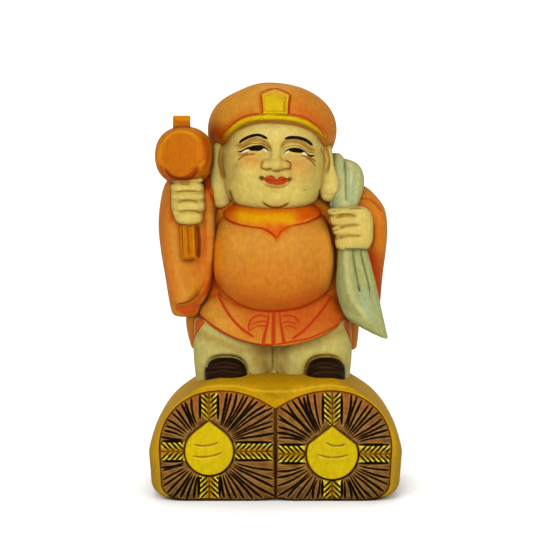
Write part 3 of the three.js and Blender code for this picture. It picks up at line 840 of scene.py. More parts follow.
def mallet():
    turn = (radians(-5.5), 0, radians(-4))
    profile = [[-place, radius] for place, radius in mallet_half] + [[0, mallet_radius]] + mallet_half[::-1]
    head_form = barrel("mallet", [-26.5, -7, 64.1], profile, turn, blend=0.1)
    top, end = rows(-27.4, -8, 72), rows(-25.2, -11, 34)
    along = Vector(top - end)
    lean = along.to_track_quat("Z", "Y").to_euler("ZYX")
    half = [1.85, 1.8, along.length / 2]
    handle = block("handle", (top + end) / 2, half, turn=lean, rounding=0.25, blend=0.1)
    peg = block("peg", [-27.3, -8, 73.3], [2.5, 2.3, 2.5], rounding=0.3, blend=0.1)
    bevel = block("peg", [-27.3, -11.2, 75.6], [4, 2, 2.4], turn=(radians(38), 0, 0), rounding=0.1)
    peg = carved(peg, bevel, 0.2)
    return [head_form, handle, peg]


# The sack: the gathered cloth below the fist, and the neck over the shoulder to the full part behind
def sack():
    mouth = column("sack", [
        [10.6, 32.4, 0.7, -9.6, -7],
        [12.9, 29.7, 2.8, -11.4, -6],
        [16, 26.8, 5, -13.2, -5.4],
        [19, 25.3, 5.8, -14, -5.2],
        [25.9, 23.65, 5.95, -14.4, -5],
        [33.7, 22.85, 4.75, -13.6, -6],
        [41, 22, 3.6, -12, -7],
    ], power=2.2, edge=0.5)
    neck = strand("sack", [
        [20.4, -9.4, 45, 3.2, 2.4],
        [20.4, -8, 50, 3.7, 2.8],
        [21.2, -4, 55.6, 4.8, 3.2],
        [20.4, 2.5, 59, 5, 3.3],
        [16, 10, 57.5, 7.5, 4.5],
        [11, 15, 50, 10, 6],
        [7, 16.5, 40, 13.5, 7.5],
        [5, 16, 28, 13, 7.5],
        [4.5, 14.5, 20, 7, 5],
    ])
    fold = strand("sack", [
        [17.6, -6, 50, 1.8, 2],
        [18.4, -3, 58.3, 2.1, 2.4],
        [18.1, 2.5, 62, 2.1, 2.4],
        [15, 9, 60, 2.1, 2.4],
    ], blend=0.4)
    return [mouth, neck, fold]


# Colours as sRGB values from 0 to 255, as they look in the studio's light
colours = {
    "ink": (17, 8, 2), "white": (240, 232, 206), "red": (192, 56, 14), "brown": (140, 70, 22),
    # The second and third colours on the line below are painted light for sides that lie in shade
    "light orange": (222, 158, 62), "hot": (255, 172, 62), "glow": (252, 142, 32), "flame": (205, 84, 30),
    # The last two reds on the line below are painted shade on the mallet, grain on its handle and red on the
    # robe
    "red orange": (222, 84, 10), "deep red": (168, 46, 8), "rust": (190, 92, 24), "dark rust": (128, 48, 8),
    "yellow": (236, 168, 4), "ochre": (196, 140, 18), "pale ochre": (226, 184, 40),
    "dull ochre": (170, 128, 16), "light mallet": (222, 148, 24), "mallet": (198, 108, 4),
    "cream": (226, 212, 142), "pale skin": (236, 214, 122), "blush": (218, 140, 62), "fold": (178, 130, 52),
    "olive": (170, 128, 50), "tan": (160, 116, 48), "shade": (150, 104, 44), "dark": (78, 54, 20),
    "ridge": (74, 52, 32), "pale sack": (206, 204, 136), "facet": (158, 160, 96),
    "sack shade": (148, 138, 76), "blue green": (164, 182, 138), "green grey": (112, 128, 88),
    "dark green": (84, 98, 62),
}

# Paints: [colour, colour in the creases, strength there, how far it reaches in millimetres, roughness]. The
# crease colour is partly darker paint and partly painted shade. A form has the paint of its own name, or
# else the one that paint_of gives
Paint = namedtuple("Paint", "colour crease strength reach roughness")
paints = {
    "trousers": Paint((202, 188, 104), (124, 92, 36), 0.75, 0.45, 0.65),
    "shoe": Paint((42, 28, 15), (16, 9, 4), 0.6, 0.4, 0.6),
    "robe": Paint((212, 134, 42), (178, 52, 8), 0.9, 0.5, 0.62),
    "recess": Paint((206, 104, 36), (160, 44, 8), 0.7, 0.6, 0.65),
    "collar": Paint((222, 96, 12), (190, 50, 6), 0.9, 0.5, 0.62),
    "skin": Paint((218, 192, 98), (156, 104, 38), 0.8, 0.4, 0.62),
    "hat": Paint((216, 144, 46), (186, 62, 12), 0.9, 0.5, 0.62),
    "gold": Paint((226, 200, 16), (200, 118, 8), 0.8, 0.35, 0.45),
    "mallet": Paint((208, 120, 8), (116, 42, 4), 0.95, 0.5, 0.62),
    "sack": Paint((180, 180, 112), (112, 126, 80), 0.85, 0.5, 0.65),
}
paint_of = {
    "cleft": "trousers", "back": "robe", "tail": "robe", "skirt": "robe", "belly": "robe",
    "left_sleeve": "robe", "right_sleeve": "robe", "face": "skin", "left_ear": "skin", "right_ear": "skin",
    "left_hand": "skin", "right_hand": "skin", "trim": "gold", "plaque": "gold", "border": "gold",
    "handle": "mallet", "peg": "mallet",
}


def linear(colour):
    share = np.asarray(colour, float) / 255
    return np.where(share <= 0.04045, share / 12.92, ((share + 0.055) / 1.055) ** 2.4)


def mix(a, b, share):
    share = np.asarray(share)[..., None]
    return a * (1 - share) + b * share


# A carved groove gets stain and painted shade as if it were this much farther away, in millimetres
cut_crease = 0.1


def coat(points, own, others):
    """Colour and roughness of the nearest form's paint at each point, darker in the creases."""
    solids = [shape for shape in own if not shape.cut]
    names = sorted({shape.name for shape in solids})
    distances = np.stack([
        np.min([measure(shape, points) for shape in solids if shape.name == name], axis=0) for name in names
    ])
    nearest = distances.argmin(0)
    crease = np.full(len(points), SKIN)
    for shape in others:
        if not shape.cut:
            crease = np.minimum(crease, np.abs(measure(shape, points)))
    if len(names) > 1:
        ranked = np.sort(distances, axis=0)
        crease = np.minimum(crease, ranked[1] - ranked[0])
    for shape in own:
        if shape.cut:
            crease = np.minimum(crease, np.abs(measure(shape, points)) + cut_crease)
    used = [paints[paint_of.get(name, name)] for name in names]

    def value(field):
        return np.array([getattr(paint, field) for paint in used], float)[nearest]

    # The crease colour stands for darker paint in the creases and for painted shade there
    amount = value("strength") * np.exp(-np.maximum(crease, 0) / value("reach"))
    colour = mix(linear(value("colour")), linear(value("crease")), amount)
    return np.column_stack([colour, value("roughness")])


# Brush and gouge marks on the front: [kind, width, depth, one or more routes in pixels of the
# photograph]. The width is in pixels, one number or from start to end, or 0 to fill an outline. The depth
# is in millimetres. The material lays the crisp kinds over the rest, each this strongly, and the other
# kinds have softer edges. A wash is soft all over: [colour, reach in pixels, strength, routes]
crisp = {"ink": 1.0, "white": 0.95, "red": 0.97, "brown": 0.85}
kinds = list(crisp)
no_mark = -2.0
filled_half = 2.0
mark_search = 6
wash_search = 2.5
soft_cover = 0.92
soft_edge = 0.9
dent_edge = 0.8

# Marks go on surfaces that face the front, weakly at the first of these shares and fully at the second
front_facing = (0.05, 0.35)
front_end = 1.0
marks = {
    "head": {
        "left brow": ("ink", 2.9, -0.05, "239.5,142.5 244.5,139 249.5,136.5 256,135 261,135.5 267,138.5"),
        "right brow": ("ink", 3.2, -0.05, "285.5,138.5 290.5,137.5 297,137.5 303,139 308,141.5 312,145"),
        "eyelids": ("ink", 1.8, 0, "237.5,152 241,151.5 245,149.5 249.5,147.5 256,146 261.5,146 "
            "265.5,148.5 268.5,151",
            "284,153.5 286,151 290,149 295,148.5 300.5,149.5 304,151.5 307.5,154.5 311,156 314.5,155.5"),
        "eyes": ("ink", 0, 0, "248,149 251.5,147 256,145.5 261.5,146 263.5,147.5 262,149.5 258.5,151 "
            "254,151 250.5,150.5",
            "289,150.5 293,148.5 299,148.5 303,151 303,152.5 299.5,153 294.5,152.5 290.5,151.5"),
        "whites of the eyes": ("white", 0, 0, "241.5,152.5 244.5,150.5 248,149.5 249.5,150 247,151.5 "
            "243.5,152.5",
            "263,149 265,149 267.5,151 267,152 264.5,151",
            "284.5,154 286,151.5 288.5,151 289.5,152 286.5,153.5",
            "302,154.5 303,152.5 305,152.5 307.5,155 308.5,156 304,155"),
        "folds over the eyes": ("fold", 2.6, 0.1, "236.5,145.5 242.5,145.5 247,142.5 252.5,140 258.5,140 "
            "263,141 267.5,144 270.5,148",
            "282,147 284,143.5 288,141.5 294.5,141.5 299.5,142 304,144.5 307.5,147.5 311.5,150 315,150"),
        "lines over the eyes": ("brown", 1.1, 0.03, "237.5,149 243.5,147 248,144.5 253,143.5 258.5,143.5 "
            "263,144 266.5,146 269.5,148.5",
            "282.5,150 285.5,147.5 290,146 295,145.5 300.5,147 304,149 307.5,151.5 311.5,152.5 315,153"),
        "left crow's foot": ("brown", 1.5, 0.1, "237.5,160.5 240.5,157.5 244.5,155.5 249.5,154.5 "
            "255,154"),
        "left short foot": ("brown", 1.2, 0.08, "237.5,155 242.5,154.5 248,152.5"),
        "right crow's feet": ("brown", 1.5, 0.1, "301.5,156 307,156.5 312,158.5 316,161.5", "306,157.5 "
            "310.5,160 313.5,163 315.5,166"),
        "nose wing": ("brown", 1.4, 0.1, "286,160.5 289,161.5 291,163.5 291,167.5 290,170"),
        "left nostril": ("fold", 2, 0.05, "263,161 261.5,164.5 261,168"),
        "nose's base": ("shade", 1.8, 0.12, "261,168 265,169.5 271,169", "273,171 276.5,171.5 280,170.5",
            "282,170 285.5,169 290,169"),
        "lips": ("red", 0, -0.05, "263,178.5 266.5,176.5 271,175.5 274.5,177 276.5,179 279,177 "
            "282.5,176.5 287,178 289,179 286.5,182.5 281,184.5 274,184.5 267.5,183 264,180.5"),
        "between the lips": ("brown", 0.9, 0.15, "265,179.5 271,180.5 276.5,180 282,180 287,179.5"),
        "left corner": ("dark", 5, 0.25, "260,178 263.5,178.5"),
        "right corner": ("dark", 4.6, 0.25, "288,180 291,179.5"),
        "under the lips": ("fold", 1.6, 0.15, "263,183 267.5,186 274.5,187.5 282,187 287,184.5 "
            "289.5,182"),
        "chin": ("brown", 1.9, 0.18, "263,203 267.5,206 273,208 276.5,208 281,207.5 285.5,205.5 288,204"),
        "fleck": ("brown", 1.6, 0, "304,189.5 304.5,190.5"),
        "left ear hollow": ("fold", 3.8, 0.3, "221.5,146 220,154 220,162 222,170 224,178"),
        "left jaw": ("shade", 3, 0.1, "229.5,190.5 232,198.5 234.5,204"),
        "right jaw": ("brown", 1.7, 0.1, "320,189.5 318.5,197 315.5,203 312,207.5"),
        "right ear hollow": ("fold", 2.8, 0.25, "325.5,142.5 326.5,147.5 328,154 329,159.5 328.5,164.5 "
            "327.5,170"),
        "right ear fold": ("fold", 2, 0.1, "321,148.5 324,155.5 325.5,162"),
    },
    "hat": {
        "trim line left": ("red", 1.5, 0.15, "224,134 230.5,126.5 237,120.5 244.5,116.5 252,114.5 "
            "261,113.5"),
        "trim line right": ("red", 1.6, 0.15, "289,113.5 293.5,114.5 302,116 309,119.5 314.5,124 "
            "320.5,129.5 325,136"),
        "plaque left": ("red", 2, 0.2, "260.5,94.5 262,103.5 262.5,113"),
        "plaque right": ("red", 2.2, 0.2, "291,94.5 289.5,104.5 289,113.5"),
        "plaque top": ("red", 1.3, 0.15, "260,93 266.5,90 274,88", "274,88 281.5,89.5 290,94"),
        "plaque inner line and foot": ("brown", 0.9, 0.1, "285,97 284,104 284,112.5", "263,114 274,113.5 "
            "286,114"),
        # Painted shadow of the brim on the forehead
        "under the trim": ("fold", 2.6, 0, "225,141 231,134.5 238,129.5 244.5,125.5 251,123 260,121.5 "
            "274.5,121 288,122 299,124 307.5,127.5 314,132 320,136.5 324.5,140.5"),
    },
    "robe": {
        "collar left": ("red", 2, 0.2, "223.5,217.5 232,222.5 242.5,225.5 253,227 262.5,228.5 "
            "268.5,231.5 273.5,235 276,238.5"),
        "collar right": ("red", 1.6, 0.2, "276,238.5 279,234 283.5,229 289.5,226 298,224.5 306.5,222.5 "
            "314,219.5 321,216"),
        "collar highlight": ("pale ochre", 1, 0, "304.5,221.5 311,219.5 317,216.5"),
        "belly's lower edge": ("red", 1.8, 0.1, "213.5,272.5 214.5,281 220.5,289 227.5,296.5 237,303.5 "
            "247.5,308 260,311 275,311.5 289.5,310 302.5,307 315,301 325.5,293.5 332,288"),
        "belly's right edge": ("red", 1.5, 0, "324.5,215.5 328.5,226 330.5,234.5 333,245 336.5,251.5"),
        "left fold": ("red", 2.8, 0.3, "217.5,292.5 221.5,302 227.5,312.5 235,322 243.5,330 254,337"),
        "right fold": ("red", 2.6, 0.3, "332,296.5 324.5,307 316,317.5 306.5,328 298,335 292,338.5"),
        "left strip": ("red", (1.6, 4), 0.35, "269,312.5 267.5,323 265,333.5 263,343"),
        "middle strip": ("red", (3.2, 4.6), 0.35, "274,312.5 273.5,326 273.5,344"),
        "right strip": ("red", (1.6, 3.8), 0.35, "279.5,312.5 281,324 282.5,333.5 284,343"),
        "left bow": ("red", 1.9, 0.25, "249,330.5 249,324 252,318.5 257,315.5 262.5,315 267.5,316.5"),
        "left bow folds": ("red", 1.5, 0.2, "251,325 256,322 262.5,321 266.5,321.5", "249,330.5 "
            "254,327.5 260,325.5 265.5,325.5"),
        "right bow": ("red", 1.9, 0.25, "282,315.5 287.5,315 293,316 297,318.5 299,322.5"),
        "right bow folds": ("red", 1.5, 0.2, "282.5,322.5 287.5,321.5 293,322.5 296.5,324.5",
            "283.5,327.5 287.5,325.5 293,326.5 297,329.5"),
        "left hem": ("red", 3.4, 0, "196,311.5 204.5,320 216,328.5 231,337 244.5,342 258,345 273,345"),
        "right hem": ("red", 2, 0, "273,345 285.5,343 296,341 308.5,338.5 321.5,333 334,327 342.5,322.5 "
            "349.5,320"),
    },
    "left_sleeve": {
        "ear line": ("red", 1.6, 0.15, "207,176.5 208,185 210.5,193 216,203.5 221.5,209"),
        "beside the belly": ("red", (1, 2.4), 0.15, "216.5,232 214.5,252 213,275"),
        "handle's shadow": ("dark rust", 4, 0.2, "197.5,226 199,241 198.5,257"),
        "handle's left edge": ("brown", 1.4, 0.1, "181,227 181.5,243 182,256"),
        "flap's edge": ("red", 1.3, 0.15, "175.5,304.5 183,303.5 191,301 197,295.5 202,287.5 205.5,279"),
        "below the flap": ("flame", 0, 0, "175.5,306 184,305.5 192.5,302.5 198.5,297 204.5,287 212,276 "
            "214,284 209,292 201,300 194,313 187,315 177,311"),
    },
    "right_sleeve": {
        "hand fold": ("brown", 2, 0.3, "362.5,208.5 370,217 374,227 374,239.5 370.5,249"),
        "upper fold": ("flame", 2.6, 0.25, "358.5,198 370,199 377,204.5 382,211"),
    },
    "hand_and_mallet": {
        "disc": ("mallet", 0, 0, "179.5,133 188,135 195,143 197,154.5 194.5,166.5 187.5,174.5 179.5,177 "
            "171.5,174.5 164.5,166 162,154.5 164,143 171,135"),
        # A painted highlight on the disc's upper edge and painted shade on its lower edge
        "disc's upper edge": ("light mallet", 2, -0.1, "163.5,143.5 167,138 172,134 181.5,131.5 "
            "191,133.5 198,139.5"),
        "disc's lower edge": ("dark rust", 3.4, 0.25, "165,170.5 169,175 174.5,178 183,179.5 191,178 "
            "197.5,172"),
        # Painted shade on the drum's right and lower left sides, round a painted highlight
        "right side": ("rust", 7, 0, "203.5,139 206.5,147 206.5,157 203,168"),
        "right highlight": ("light mallet", 2.2, 0, "199.5,165.5 202.5,163.5 204.5,161"),
        "lower left side": ("rust", 4, 0, "160.5,166 163.5,172 167,178.5"),
        "right edge": ("ink", 1.3, 0.1, "212,143.5 213,149.5 213,157 212,164.5 210,171.5"),
        "peg's foot": ("brown", 1.2, 0.1, "174,126.5 181.5,125.5 190,126.5"),
        # Painted shade on the peg's front and in the hole of the fist
        "peg's front": ("rust", 3, 0, "175.5,123 189,123"),
        "fist hole": ("olive", 3, 0.25, "179.5,182.5 184.5,183.5 189.5,183"),
        "fist's right edge": ("red", 1.5, 0.1, "202,183 204.5,190 205,201 205.5,212.5"),
        "fist's foot": ("red", 1.2, 0.1, "197.5,212.5 206,212.5"),
        "fist's left edge": ("brown", 1.2, 0.1, "171,208 174,219 177.5,223.5"),
        # Painted shade in the grooves between the fingers
        "finger lines": ("olive", 2.2, 0.1, "177.5,192 185.5,191 196.5,191.5",
            "177.5,202 187,200.5 198,202",
            "179.5,212 188.5,211 198.5,211.5"),
        "handle's left edge": ("brown", 1.1, 0.1, "181.5,225.5 182.5,242 183,256"),
        # Painted shade on the handle's end and right edge; the line down its middle is grain
        "handle's end": ("dark rust", 2.4, 0, "183.5,261 195,259.5"),
        "end's upper edge": ("brown", 1, 0.1, "183,258.5 195,257"),
        "handle's right edge": ("dark rust", 1.4, 0, "195,226 196,257"),
        "handle's grain": ("dark rust", 1, 0.1, "187.5,227 188.5,240 189,256"),
    },
    "hand_and_sack": {
        # Painted shade in the grooves between the fingers
        "finger lines": ("olive", 2.8, 0.3, "336,217 345,215 355.5,216", "339.5,227.5 348.5,225.5 "
            "359,225", "338.5,237.5 348.5,236 360,236"),
        "above the fist": ("brown", 1, 0.1, "329.5,212 336,211"),
        "finger lines' starts": ("brown", 1.3, 0.15, "333,231 338.5,229.5", "333,239.5 337.5,238.5"),
        "fist's top": ("brown", 0.9, 0.05, "350,208.5 356,208 361.5,208.5"),
        "fist's left edge": ("red", 1.3, 0, "328.5,214 332.5,230 336,249"),
        "upper groove": ("green grey", 2.2, 0.4, "345.5,161 345.5,181 346,200"),
        "upper blue": ("blue green", 2.6, 0.15, "348.5,166 349,187 348.5,203"),
        "second upper blue": ("blue green", 3, 0.2, "355.5,170 353,187 352.5,203"),
        "under the ear": ("blue green", 2.2, 0, "330.5,201 336,199 340.5,195.5"),
        # Painted shade on the sack's left facet
        "left facet": ("facet", 0, 0, "337,251 343,251 344,272 346.5,290 352.5,304.5 361,315.5 351,313.5 "
            "342,305 336.5,290 335,270"),
        "lower groove": ("dark green", 1.5, 0.45, "353,250.5 354,262 357.5,280.5 360,292"),
        "lower blue": ("blue green", 3.4, 0.2, "360,292.5 363.5,302 368.5,312 376,325"),
        "nick": ("ink", 1, 0.15, "358,286 360,291.5"),
        "second lower groove": ("dark green", 1.6, 0.45, "361,250.5 363.5,262 367.5,277 371,293"),
        "second lower blue": ("blue green", 3, 0.2, "371,292 374.5,304 378,315"),
        # Painted shadow under the fist
        "under the fist": ("green grey", 2.2, 0.1, "345,249.5 356,249 367.5,250.5"),
    },
    "legs": {
        # Painted shade in the cleft between the legs
        "cleft": ("dark", 1.1, 0.35, "273,346.5 273,358 273.5,364 273.5,370"),
        "hems": ("brown", 1.1, 0.1, "273.5,368 268,372.5 261.5,374.5 252.5,374.5 249,372.5",
            "275.5,370 280.5,375.5 285,377 296,376.5"),
        "left inner band": ("sack shade", 2.2, 0, "206.5,361.5 211,357.5 218,355 228,355 237,356.5 "
            "243,360"),
        "right inner band": ("fold", 2.4, 0, "306.5,361.5 312,357 320.5,355 330.5,354.5 337.5,357 "
            "342,361"),
        "left of the right shoe": ("shade", 3, 0, "304.5,375 306,368 308.5,362"),
        "glint": ("white", 1.4, 0, "206.5,365.5 207,366.5"),
        "ridges of the shoes": ("ridge", 1, 0, "212,365.5 221,363 231,363.5 240,366.5",
            "208,369.5 219,367 232,367.5 244,371",
            "207,373.5 220,371 234,372 243.5,373.5",
            "311,367 320,363.5 330,363.5 340,367",
            "309.5,371 320,367.5 332,368 343,371.5",
            "312,375 322,372 334,372 344,374.5"),
        "left flap": ("flame", 0, -0.1, "188,311 204.5,321.5 200,328 195,336 192.5,347 187,347"),
        "left flap's edge": ("red", 1.2, 0, "204.5,322 200,328 195,336 192.5,346.5"),
        "right flap": ("flame", 0, -0.1, "343.5,323.5 349.5,319.5 358,322 358,346 353.5,348 350,339.5"),
        "right flap's edge": ("brown", 1.2, 0, "343.5,324 347,331.5 350,339.5 353,348"),
    },
    "rice_bales": {
        # A painted highlight along the top edge of the bales
        "edge_highlight": ("pale ochre", 1.8, 0, "187.5,394.5 195,390.5 203.5,387.5 223,385.5 241,387 255.5,390.5 "
            "277,391.5 296.5,390.5 312.5,387 329,385.5 345,387 353.5,389.5"),
    },
}
washes = {
    "head": [
        ("shade", 4.5, 0.6, "226,143 231,134 241,126"), ("shade", 3, 0.4, "241,127 251,123"),
        ("shade", 3.5, 0.5, "312,130 318,135 320,140"),
        ("shade", 2.5, 0.3, "251,122 276,120 299,122 312,129"), ("blush", 8, 0.65, "246,159 255,161"),
        ("blush", 10, 0.6, "294,164 303,168"), ("shade", 2.2, 0.35, "291,170 291,177"),
        ("fold", 3, 0.4, "236,165 233,178"), ("cream", 1.6, 0.4, "217,150 216,165 216,178"),
        # Painted light on the forehead under the brim and on the ear lobes, in the two washes below
        ("pale skin", 10, 0.6, "264,129 288,129"),
        ("pale skin", 7, 0.5, "333,170 333,190", "218,184 221,198"),
    ],
    "hat": [
        ("light orange", 18, 0.35, "262,84 285,84"), ("deep red", 8, 0.75, "210,136 216,131 222,137"),
        ("red", 5, 0.35, "222,132 236,120 250,114"), ("flame", 7, 0.5, "298,109 313,117 327,133"),
        ("flame", 16, 0.25, "300,100 325,118"), ("light orange", 7, 0.7, "264,85 287,85"),
        ("shade", 2, 0.4, "325,138 331,148"),
    ],
    "robe": [
        # Painted light: the second wash below, on the belly's left side beside the sleeve
        ("light orange", 26, 0.5, "245,242 300,242"), ("glow", 7, 0.8, "216,245 216,280"),
        # Painted light: the first wash below, on the belly's right side in the shade of the fist and sack
        ("hot", 9, 1, "330,238 331,262 329,284"), ("flame", 12, 0.45, "236,299 275,305 312,298"),
        ("flame", 20, 0.2, "240,275 305,275"),
        ("rust", 16, 0.45, "222,290 245,303 275,309 305,303 330,288"),
        ("rust", 8, 0.4, "204,262 210,280"), ("yellow", 6.5, 0.95, "242,216 258,218 275,218 290,218"),
        ("red orange", 5, 0.8, "268,229 276,234 283,229"), ("red orange", 6, 0.7, "304,217 320,213"),
        ("flame", 22, 0.75, "300,322 330,312 346,305"), ("light orange", 12, 0.6, "212,312 224,324"),
        ("deep red", 7, 0.7, "197,300 207,292 215,285"), ("deep red", 8, 0.5, "344,300 352,312"),
        ("flame", 10, 0.5, "252,323 263,322"), ("flame", 9, 0.4, "286,322 294,324"),
        ("deep red", 2, 0.5, "335,254 336,268 335,280 333,288"),
    ],
    "left_sleeve": [
        ("flame", 9, 0.35, "166,210 168,250 174,290"),
        ("flame", 4, 0.5, "206,222 205,242 202,256 196,272"),
        ("red orange", 4, 0.5, "208,236 208,262 206,288"),
        ("light orange", 4, 0.5, "172,228 177,270 184,300"),
        ("light orange", 3, 0.5, "211,216 211,240 210,260"), ("deep red", 3, 0.7, "214,262 214,284"),
        ("red", 3, 0.5, "206,178 208,192 216,206"),
    ],
    "right_sleeve": [
        # Painted light: the first wash below, on the outer side of the right sleeve
        ("glow", 7, 0.5, "378,215 380,250"), ("red", 4, 0.3, "364,206 375,220 375,240 370,254"),
        ("deep red", 8, 0.85, "370,256 376,282 380,303"), ("red", 7, 0.8, "372,262 375,292"),
        ("flame", 10, 0.5, "384,262 384,285"),
    ],
    "hand_and_mallet": [
        # Painted shade on the drum's right and lower sides, painted highlights on the peg, rim and handle's
        # edges
        ("rust", 7, 0.35, "202,138 207,152 203,168"),
        ("dark rust", 4, 0.8, "166,171 174,176 188,176 196,170"), ("yellow", 2, 0.6, "177,118 189,118"),
        ("yellow", 2.2, 0.35, "160,146 158,160"),
        ("yellow", 0.9, 0.6, "183,226 184,256", "193,226 194,256"),
    ],
    "hand_and_sack": [
        ("cream", 8, 0.6, "346,166 346,200"), ("sack shade", 9, 0.4, "349,258 351,280 356,300"),
        ("pale sack", 1.5, 0.7, "352,166 351,180 351,200", "359,170 358,184 356,202"),
        ("blue green", 4, 0.6, "331,204 338,203"), ("blue green", 3, 0.35, "341,162 341,188"),
        ("blue green", 5, 0.35, "362,290 368,300"),
        # A painted highlight along the ridge of the gathered cloth
        ("pale sack", 3, 0.6, "346,252 347,272 350,290 356,304 366,316"),
        ("cream", 3, 0.3, "351,168 350,190"),
    ],
    "legs": [
        # Painted shade on the legs' inner sides beside the cleft, in the washes below
        ("tan", 6, 0.7, "262,351 263,360 267,371"),
        ("tan", 5, 0.45, "257,344 256,364", "285,344 287,364"), ("tan", 3, 0.5, "280,364 284,374"),
        ("shade", 5, 0.5, "200,334 240,350 275,352 310,345 345,330"),
        ("ochre", 3, 0.5, "304,366 302,374"),
    ],
    "rice_bales": [
        # Painted shade: the second wash below, in the valley between the bales
        ("ochre", 7, 0.9, "250,377 275,380 300,377"), ("dull ochre", 6, 0.8, "266,392 276,396 286,392"),
        ("ochre", 2.6, 0.6, "190,398 204,392 223,389 241,390 256,395 268,401 277,406 288,400 297,395 "
            "313,391 329,389 353,393"),
        ("yellow", 2.5, 0.4, "206,380 222,379 238,378", "312,377 326,380 342,378"),
    ],
}


def taper(count, widest, start=0.25, end=0.15):
    """Half widths of a stroke that narrows to both its ends."""
    share = np.linspace(0, 1, count)
    return widest * np.minimum(np.minimum(start + share * 4, 1), end + (1 - share) * 6)


def stroke_margin(flat, path, half_widths):
    """How far inside a stroke each point of a plane is, and the stroke's half width there."""
    place, offset = nearest_on(flat, path)
    half = np.interp(place, np.arange(len(path)), half_widths)
    return half - np.linalg.norm(offset, axis=1), half


def draw_mark(pixels, path, width):
    """How far inside a mark each pixel is, and the mark's half width there."""
    if not width:
        return -patch_distance(pixels, closed_curve(path)), filled_half
    line = spline(path, 5 * len(path))
    widths = np.linspace(*np.broadcast_to(width, 2), len(line))
    return stroke_margin(pixels, line, widths / 2 * taper(len(line), 1, 0.5, 0.5))


def decorate(name, points, faces, coated):
    """Draws a piece's washes and marks on its front: moved points, their paint and the crisp margins."""
    normal = normals_of(points, faces)
    pixels = pixel_of(points)
    front = (normal[:, 1] < -front_facing[0]) & (points[:, 1] < front_end)
    facing = blend_step(-normal[:, 1], *front_facing)
    coated = coated.copy()
    margins = np.full((len(points), len(kinds)), no_mark)
    sunk = np.zeros(len(points))

    def near(path, reach):
        inside = (pixels > path.min(0) - reach) & (pixels < path.max(0) + reach)
        return np.flatnonzero(front & inside.all(1))

    def paint(here, colour, amount):
        coated[here, :3] = mix(coated[here, :3], linear(colours[colour]), amount * facing[here])

    for colour, reach, strength, *routes in washes.get(name, ()):
        for path in map(route_of, routes):
            here = near(path, wash_search * reach)
            margin, _ = stroke_margin(pixels[here], path, np.zeros(len(path)))
            paint(here, colour, strength * np.exp(-(margin / reach) ** 2))
    for kind, width, depth, *routes in marks.get(name, {}).values():
        for path in map(route_of, routes):
            here = near(path, mark_search)
            margin, half = draw_mark(pixels[here], path, width)
            if kind in kinds:
                channel = kinds.index(kind)
                shown = np.maximum(margin * facing[here], no_mark)
                margins[here, channel] = np.maximum(margins[here, channel], shown)
            else:
                paint(here, kind, soft_cover * blend_step(margin, -soft_edge, soft_edge))
            share = np.clip((margin + dent_edge) / (half + dent_edge), 0, 1)
            sunk[here] += depth * share * (2 - share)
    return points - normal * sunk[:, None], coated, margins


# The bales: one swelling block, with a pocket in each end for the carved faces. The outline's crests stand
# at a share of the width, and its sides are superellipses of these powers at the ends and the waist
crest_share = 0.46
end_power = 2.15
waist_power = 1.52
corner_power = 2.4
plate_gap = 0.2
pocket_depth = 1.3
pocket_floor = bale_length / 2 - pocket_depth
bale_rings = 84
pocket_steps = ((0.12, 0), (0.22, 0.12), (0.3, pocket_depth))

# The straw: gouge cuts in each quarter of a front face, for the left and right bale, and the ears between
straw_cut = 0.42
straw_counts = {-1: (13, 10, 9, 9), 1: (10, 10, 9, 12)}
back_count = 5
shortest_cut = 2.5
ear_widths = {-1: (4.8, 4.8, 5.6, 5.4), 1: (5, 5, 5.2, 5)}
ear_cut = 0.33
ear_gap = 0.5
ear_pitch = 1.5
ear_end = 0.9
beside_ear = 0.2

# The cuts between the grains of an ear: from its middle line outwards, with a margin left at its side
grain_start = 0.34
grain_spare = 0.45
shortest_grain = 0.5
grain_widths = rows(0.15, ear_cut, 0.22)
middle_widths = rows(0.06, 0.1, 0.12, 0.14)

# Chance in the cuts that fan out: the place as a share of a cut's room, the turn at the border and the bow in
# radians, the gaps to the border and the jewel in millimetres, and the width as a share
place_chance = 0.12
turn_chance = 0.015
bow_chance = 0.03
border_gaps = (0.6, 1.2)
jewel_gaps = (0.7, 1.6)
width_chance = (0.85, 1.15)

# Angles left free of cuts at each side of a quarter, next to the jewel and at the border
cut_spares = {True: (radians(22), radians(14)), False: (radians(4), radians(4))}

# The relief of a straw face in millimetres, with the power that rounds its cuts. A moat and an inked ring run
# round the jewel
straw_swell = 0.1
cut_depth = 0.6
grain_depth = 0.45
ear_rise = 0.12
moat_depth = 0.35
moat_place = 0.2
moat_width = 0.25
ring_place = 0.12
ring_width = 0.24
line_depth = 0.28
border_drop = 0.3
cut_power = 0.8
jewel_roughness = 0.42
straw_roughness = 0.52


def even_points(line, count):
    """That many points at equal spacing along a polyline, both ends included."""
    length = np.concatenate([[0], np.cumsum(np.linalg.norm(np.diff(line, axis=0), axis=1))])
    place = np.linspace(0, length[-1], count)
    return np.stack([np.interp(place, length, line[:, n]) for n in range(2)], 1)


